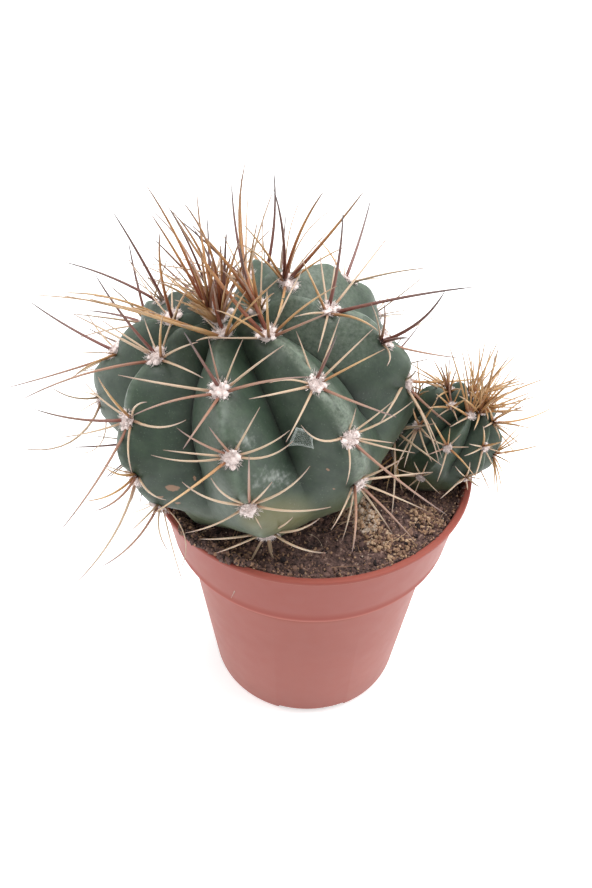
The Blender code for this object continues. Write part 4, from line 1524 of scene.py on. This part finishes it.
for _ in range(SPILT):
    turn = draw.uniform(SPILL_FROM, SPILL_TO)
    middle = smooth(2.5 * (1 - abs(2 * (turn - SPILL_FROM) / (SPILL_TO - SPILL_FROM) - 1)))
    size = draw.uniform(*SPILL_SIZES)
    uneven = SPILL_UNEVEN * noise.noise(Vector((turn * 14, 0.4, 0.0)))
    outermost = SPILL_OUTER_RADIUS + SPILL_MIDDLE_REACH * middle + uneven
    radius = min(draw.uniform(SPILL_INNER_RADIUS, outermost), RIM_RADIUS + 0.0001)
    level = banked_level(radius, *SPILL_BANK)
    height = level + 0.3 * size + SPILL_HEAP * middle * draw.random()
    rim_grain(turn, radius, height, size, 0.62, 0.10)
for _ in range(RIM_CRUMBS):
    turn = draw.uniform(RIM_CRUMBS_FROM, RIM_CRUMBS_TO)
    size = draw.uniform(*RIM_CRUMB_SIZES)
    patch = 0.5 + noise.noise(Vector((turn * 9, 0.9, 0.0)))
    radius = draw.uniform(RIM_CRUMB_RADII[0], RIM_CRUMB_RADII[1] + RIM_CRUMB_PATCH * patch)
    height = banked_level(radius, *RIM_CRUMB_BANK) + 0.3 * size
    rim_grain(turn, radius, height, size, 0.70, 0.12)


def strand_spots(template, draw, x, y, length):
    """A fibre lying on the soil, bowed sideways and lifted a little in its middle."""
    turn = draw.uniform(0, 2 * pi)
    half = Vector((cos(turn), sin(turn), 0)) * length / 2
    centre = Vector((x, y, crumbly_height(x, y) + 0.0006))
    bow = Vector((-sin(turn), cos(turn), 0)) * length * draw.uniform(-0.35, 0.35)
    start = centre - half + Vector((0, 0, draw.uniform(-0.0003, 0.0008)))
    end = centre + half + Vector((0, 0, draw.uniform(-0.0003, 0.0012)))
    return bent_needle(template, start, centre + bow + Vector((0, 0, 0.0008)), end, FIBRE_RADIUS)


fibre_template = needle_template(4, 6)
for index in range(FIBRES):
    x, y = open_soil(draw)
    if index % 3 == 0:
        x, y = CLUMPS[0][0] + draw.gauss(0, 0.004), CLUMPS[0][1] + draw.gauss(0, 0.005)
    spots = strand_spots(fibre_template, draw, x, y, draw.uniform(0.003, 0.008))
    placed.append((fibre_template, spots, draw.uniform(0.3, 0.85)))

grit, tree, shader = new_material("loose_grains")
speck = times(tree, noise_node(tree, 3000, 3.0), 0.2)
mixed = math_node(tree, "ADD", mark_node(tree, "shade"), speck)
set_inputs(shader, {
    "Base Color": ramp_node(tree, mixed, [
        (0.14, PEAT_BLACK), (0.38, PEAT_BROWN), (0.60, GRAIN_TAN), (0.84, GRAIN_CREAM),
        (1.0, GRAIN_PALE),
    ]),
    "Roughness": 0.9,
})
grains = joined("loose_grains", placed, grit, smooth_shaded=False)
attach(grains, "root")
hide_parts("soil")


# Scrap of film: a torn bit of clear plastic, caught on the skin between two ribs at the front
FILM_CORNERS = ((299, 425), (314, 433), (315, 446), (291, 443))
FILM_LIFT = 0.0005
FILM_STEPS = 10
FILM_THICKNESS = 0.00015
FILM_CURL = 0.0007
FILM_CRUMPLE = 0.0004
FILM_GREY = colour(196, 206, 200)
bm = bmesh.new()
edge = bm.verts.layers.float.new("edge")
bmesh.ops.create_grid(bm, x_segments=FILM_STEPS, y_segments=FILM_STEPS, size=0.5)
for vert in bm.verts:
    across, down = vert.co.x + 0.5, vert.co.y + 0.5
    top = Vector(FILM_CORNERS[0]).lerp(Vector(FILM_CORNERS[1]), across)
    low = Vector(FILM_CORNERS[3]).lerp(Vector(FILM_CORNERS[2]), across)
    hit, normal, _, _ = skin_tree.ray_cast(camera_place, sight_line(top.lerp(low, down)))
    curl = FILM_CURL * (2 * across - 1) ** 2 + FILM_CRUMPLE * noise.noise(hit * 600)
    vert.co = hit + normal * (FILM_LIFT + curl)
    vert[edge] = max(abs(2 * across - 1), abs(2 * down - 1))
bmesh.ops.recalc_face_normals(bm, faces=bm.faces)
bmesh.ops.solidify(bm, geom=bm.faces[:], thickness=FILM_THICKNESS)
bmesh.ops.recalc_face_normals(bm, faces=bm.faces)
# Painted reflection: the film's edges show more of its pale grey than its clear middle
film, tree, shader = new_material("clear_film")
set_inputs(shader, {
    "Alpha": ramp_node(tree, mark_node(tree, "edge"), [(0.70, grey(0.10)), (0.95, grey(0.50))]),
    "Base Color": FILM_GREY,
    "Roughness": 0.35,
})
scrap = finished("film_scrap", bm, film)
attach(scrap, "root")
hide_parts("main_stem")
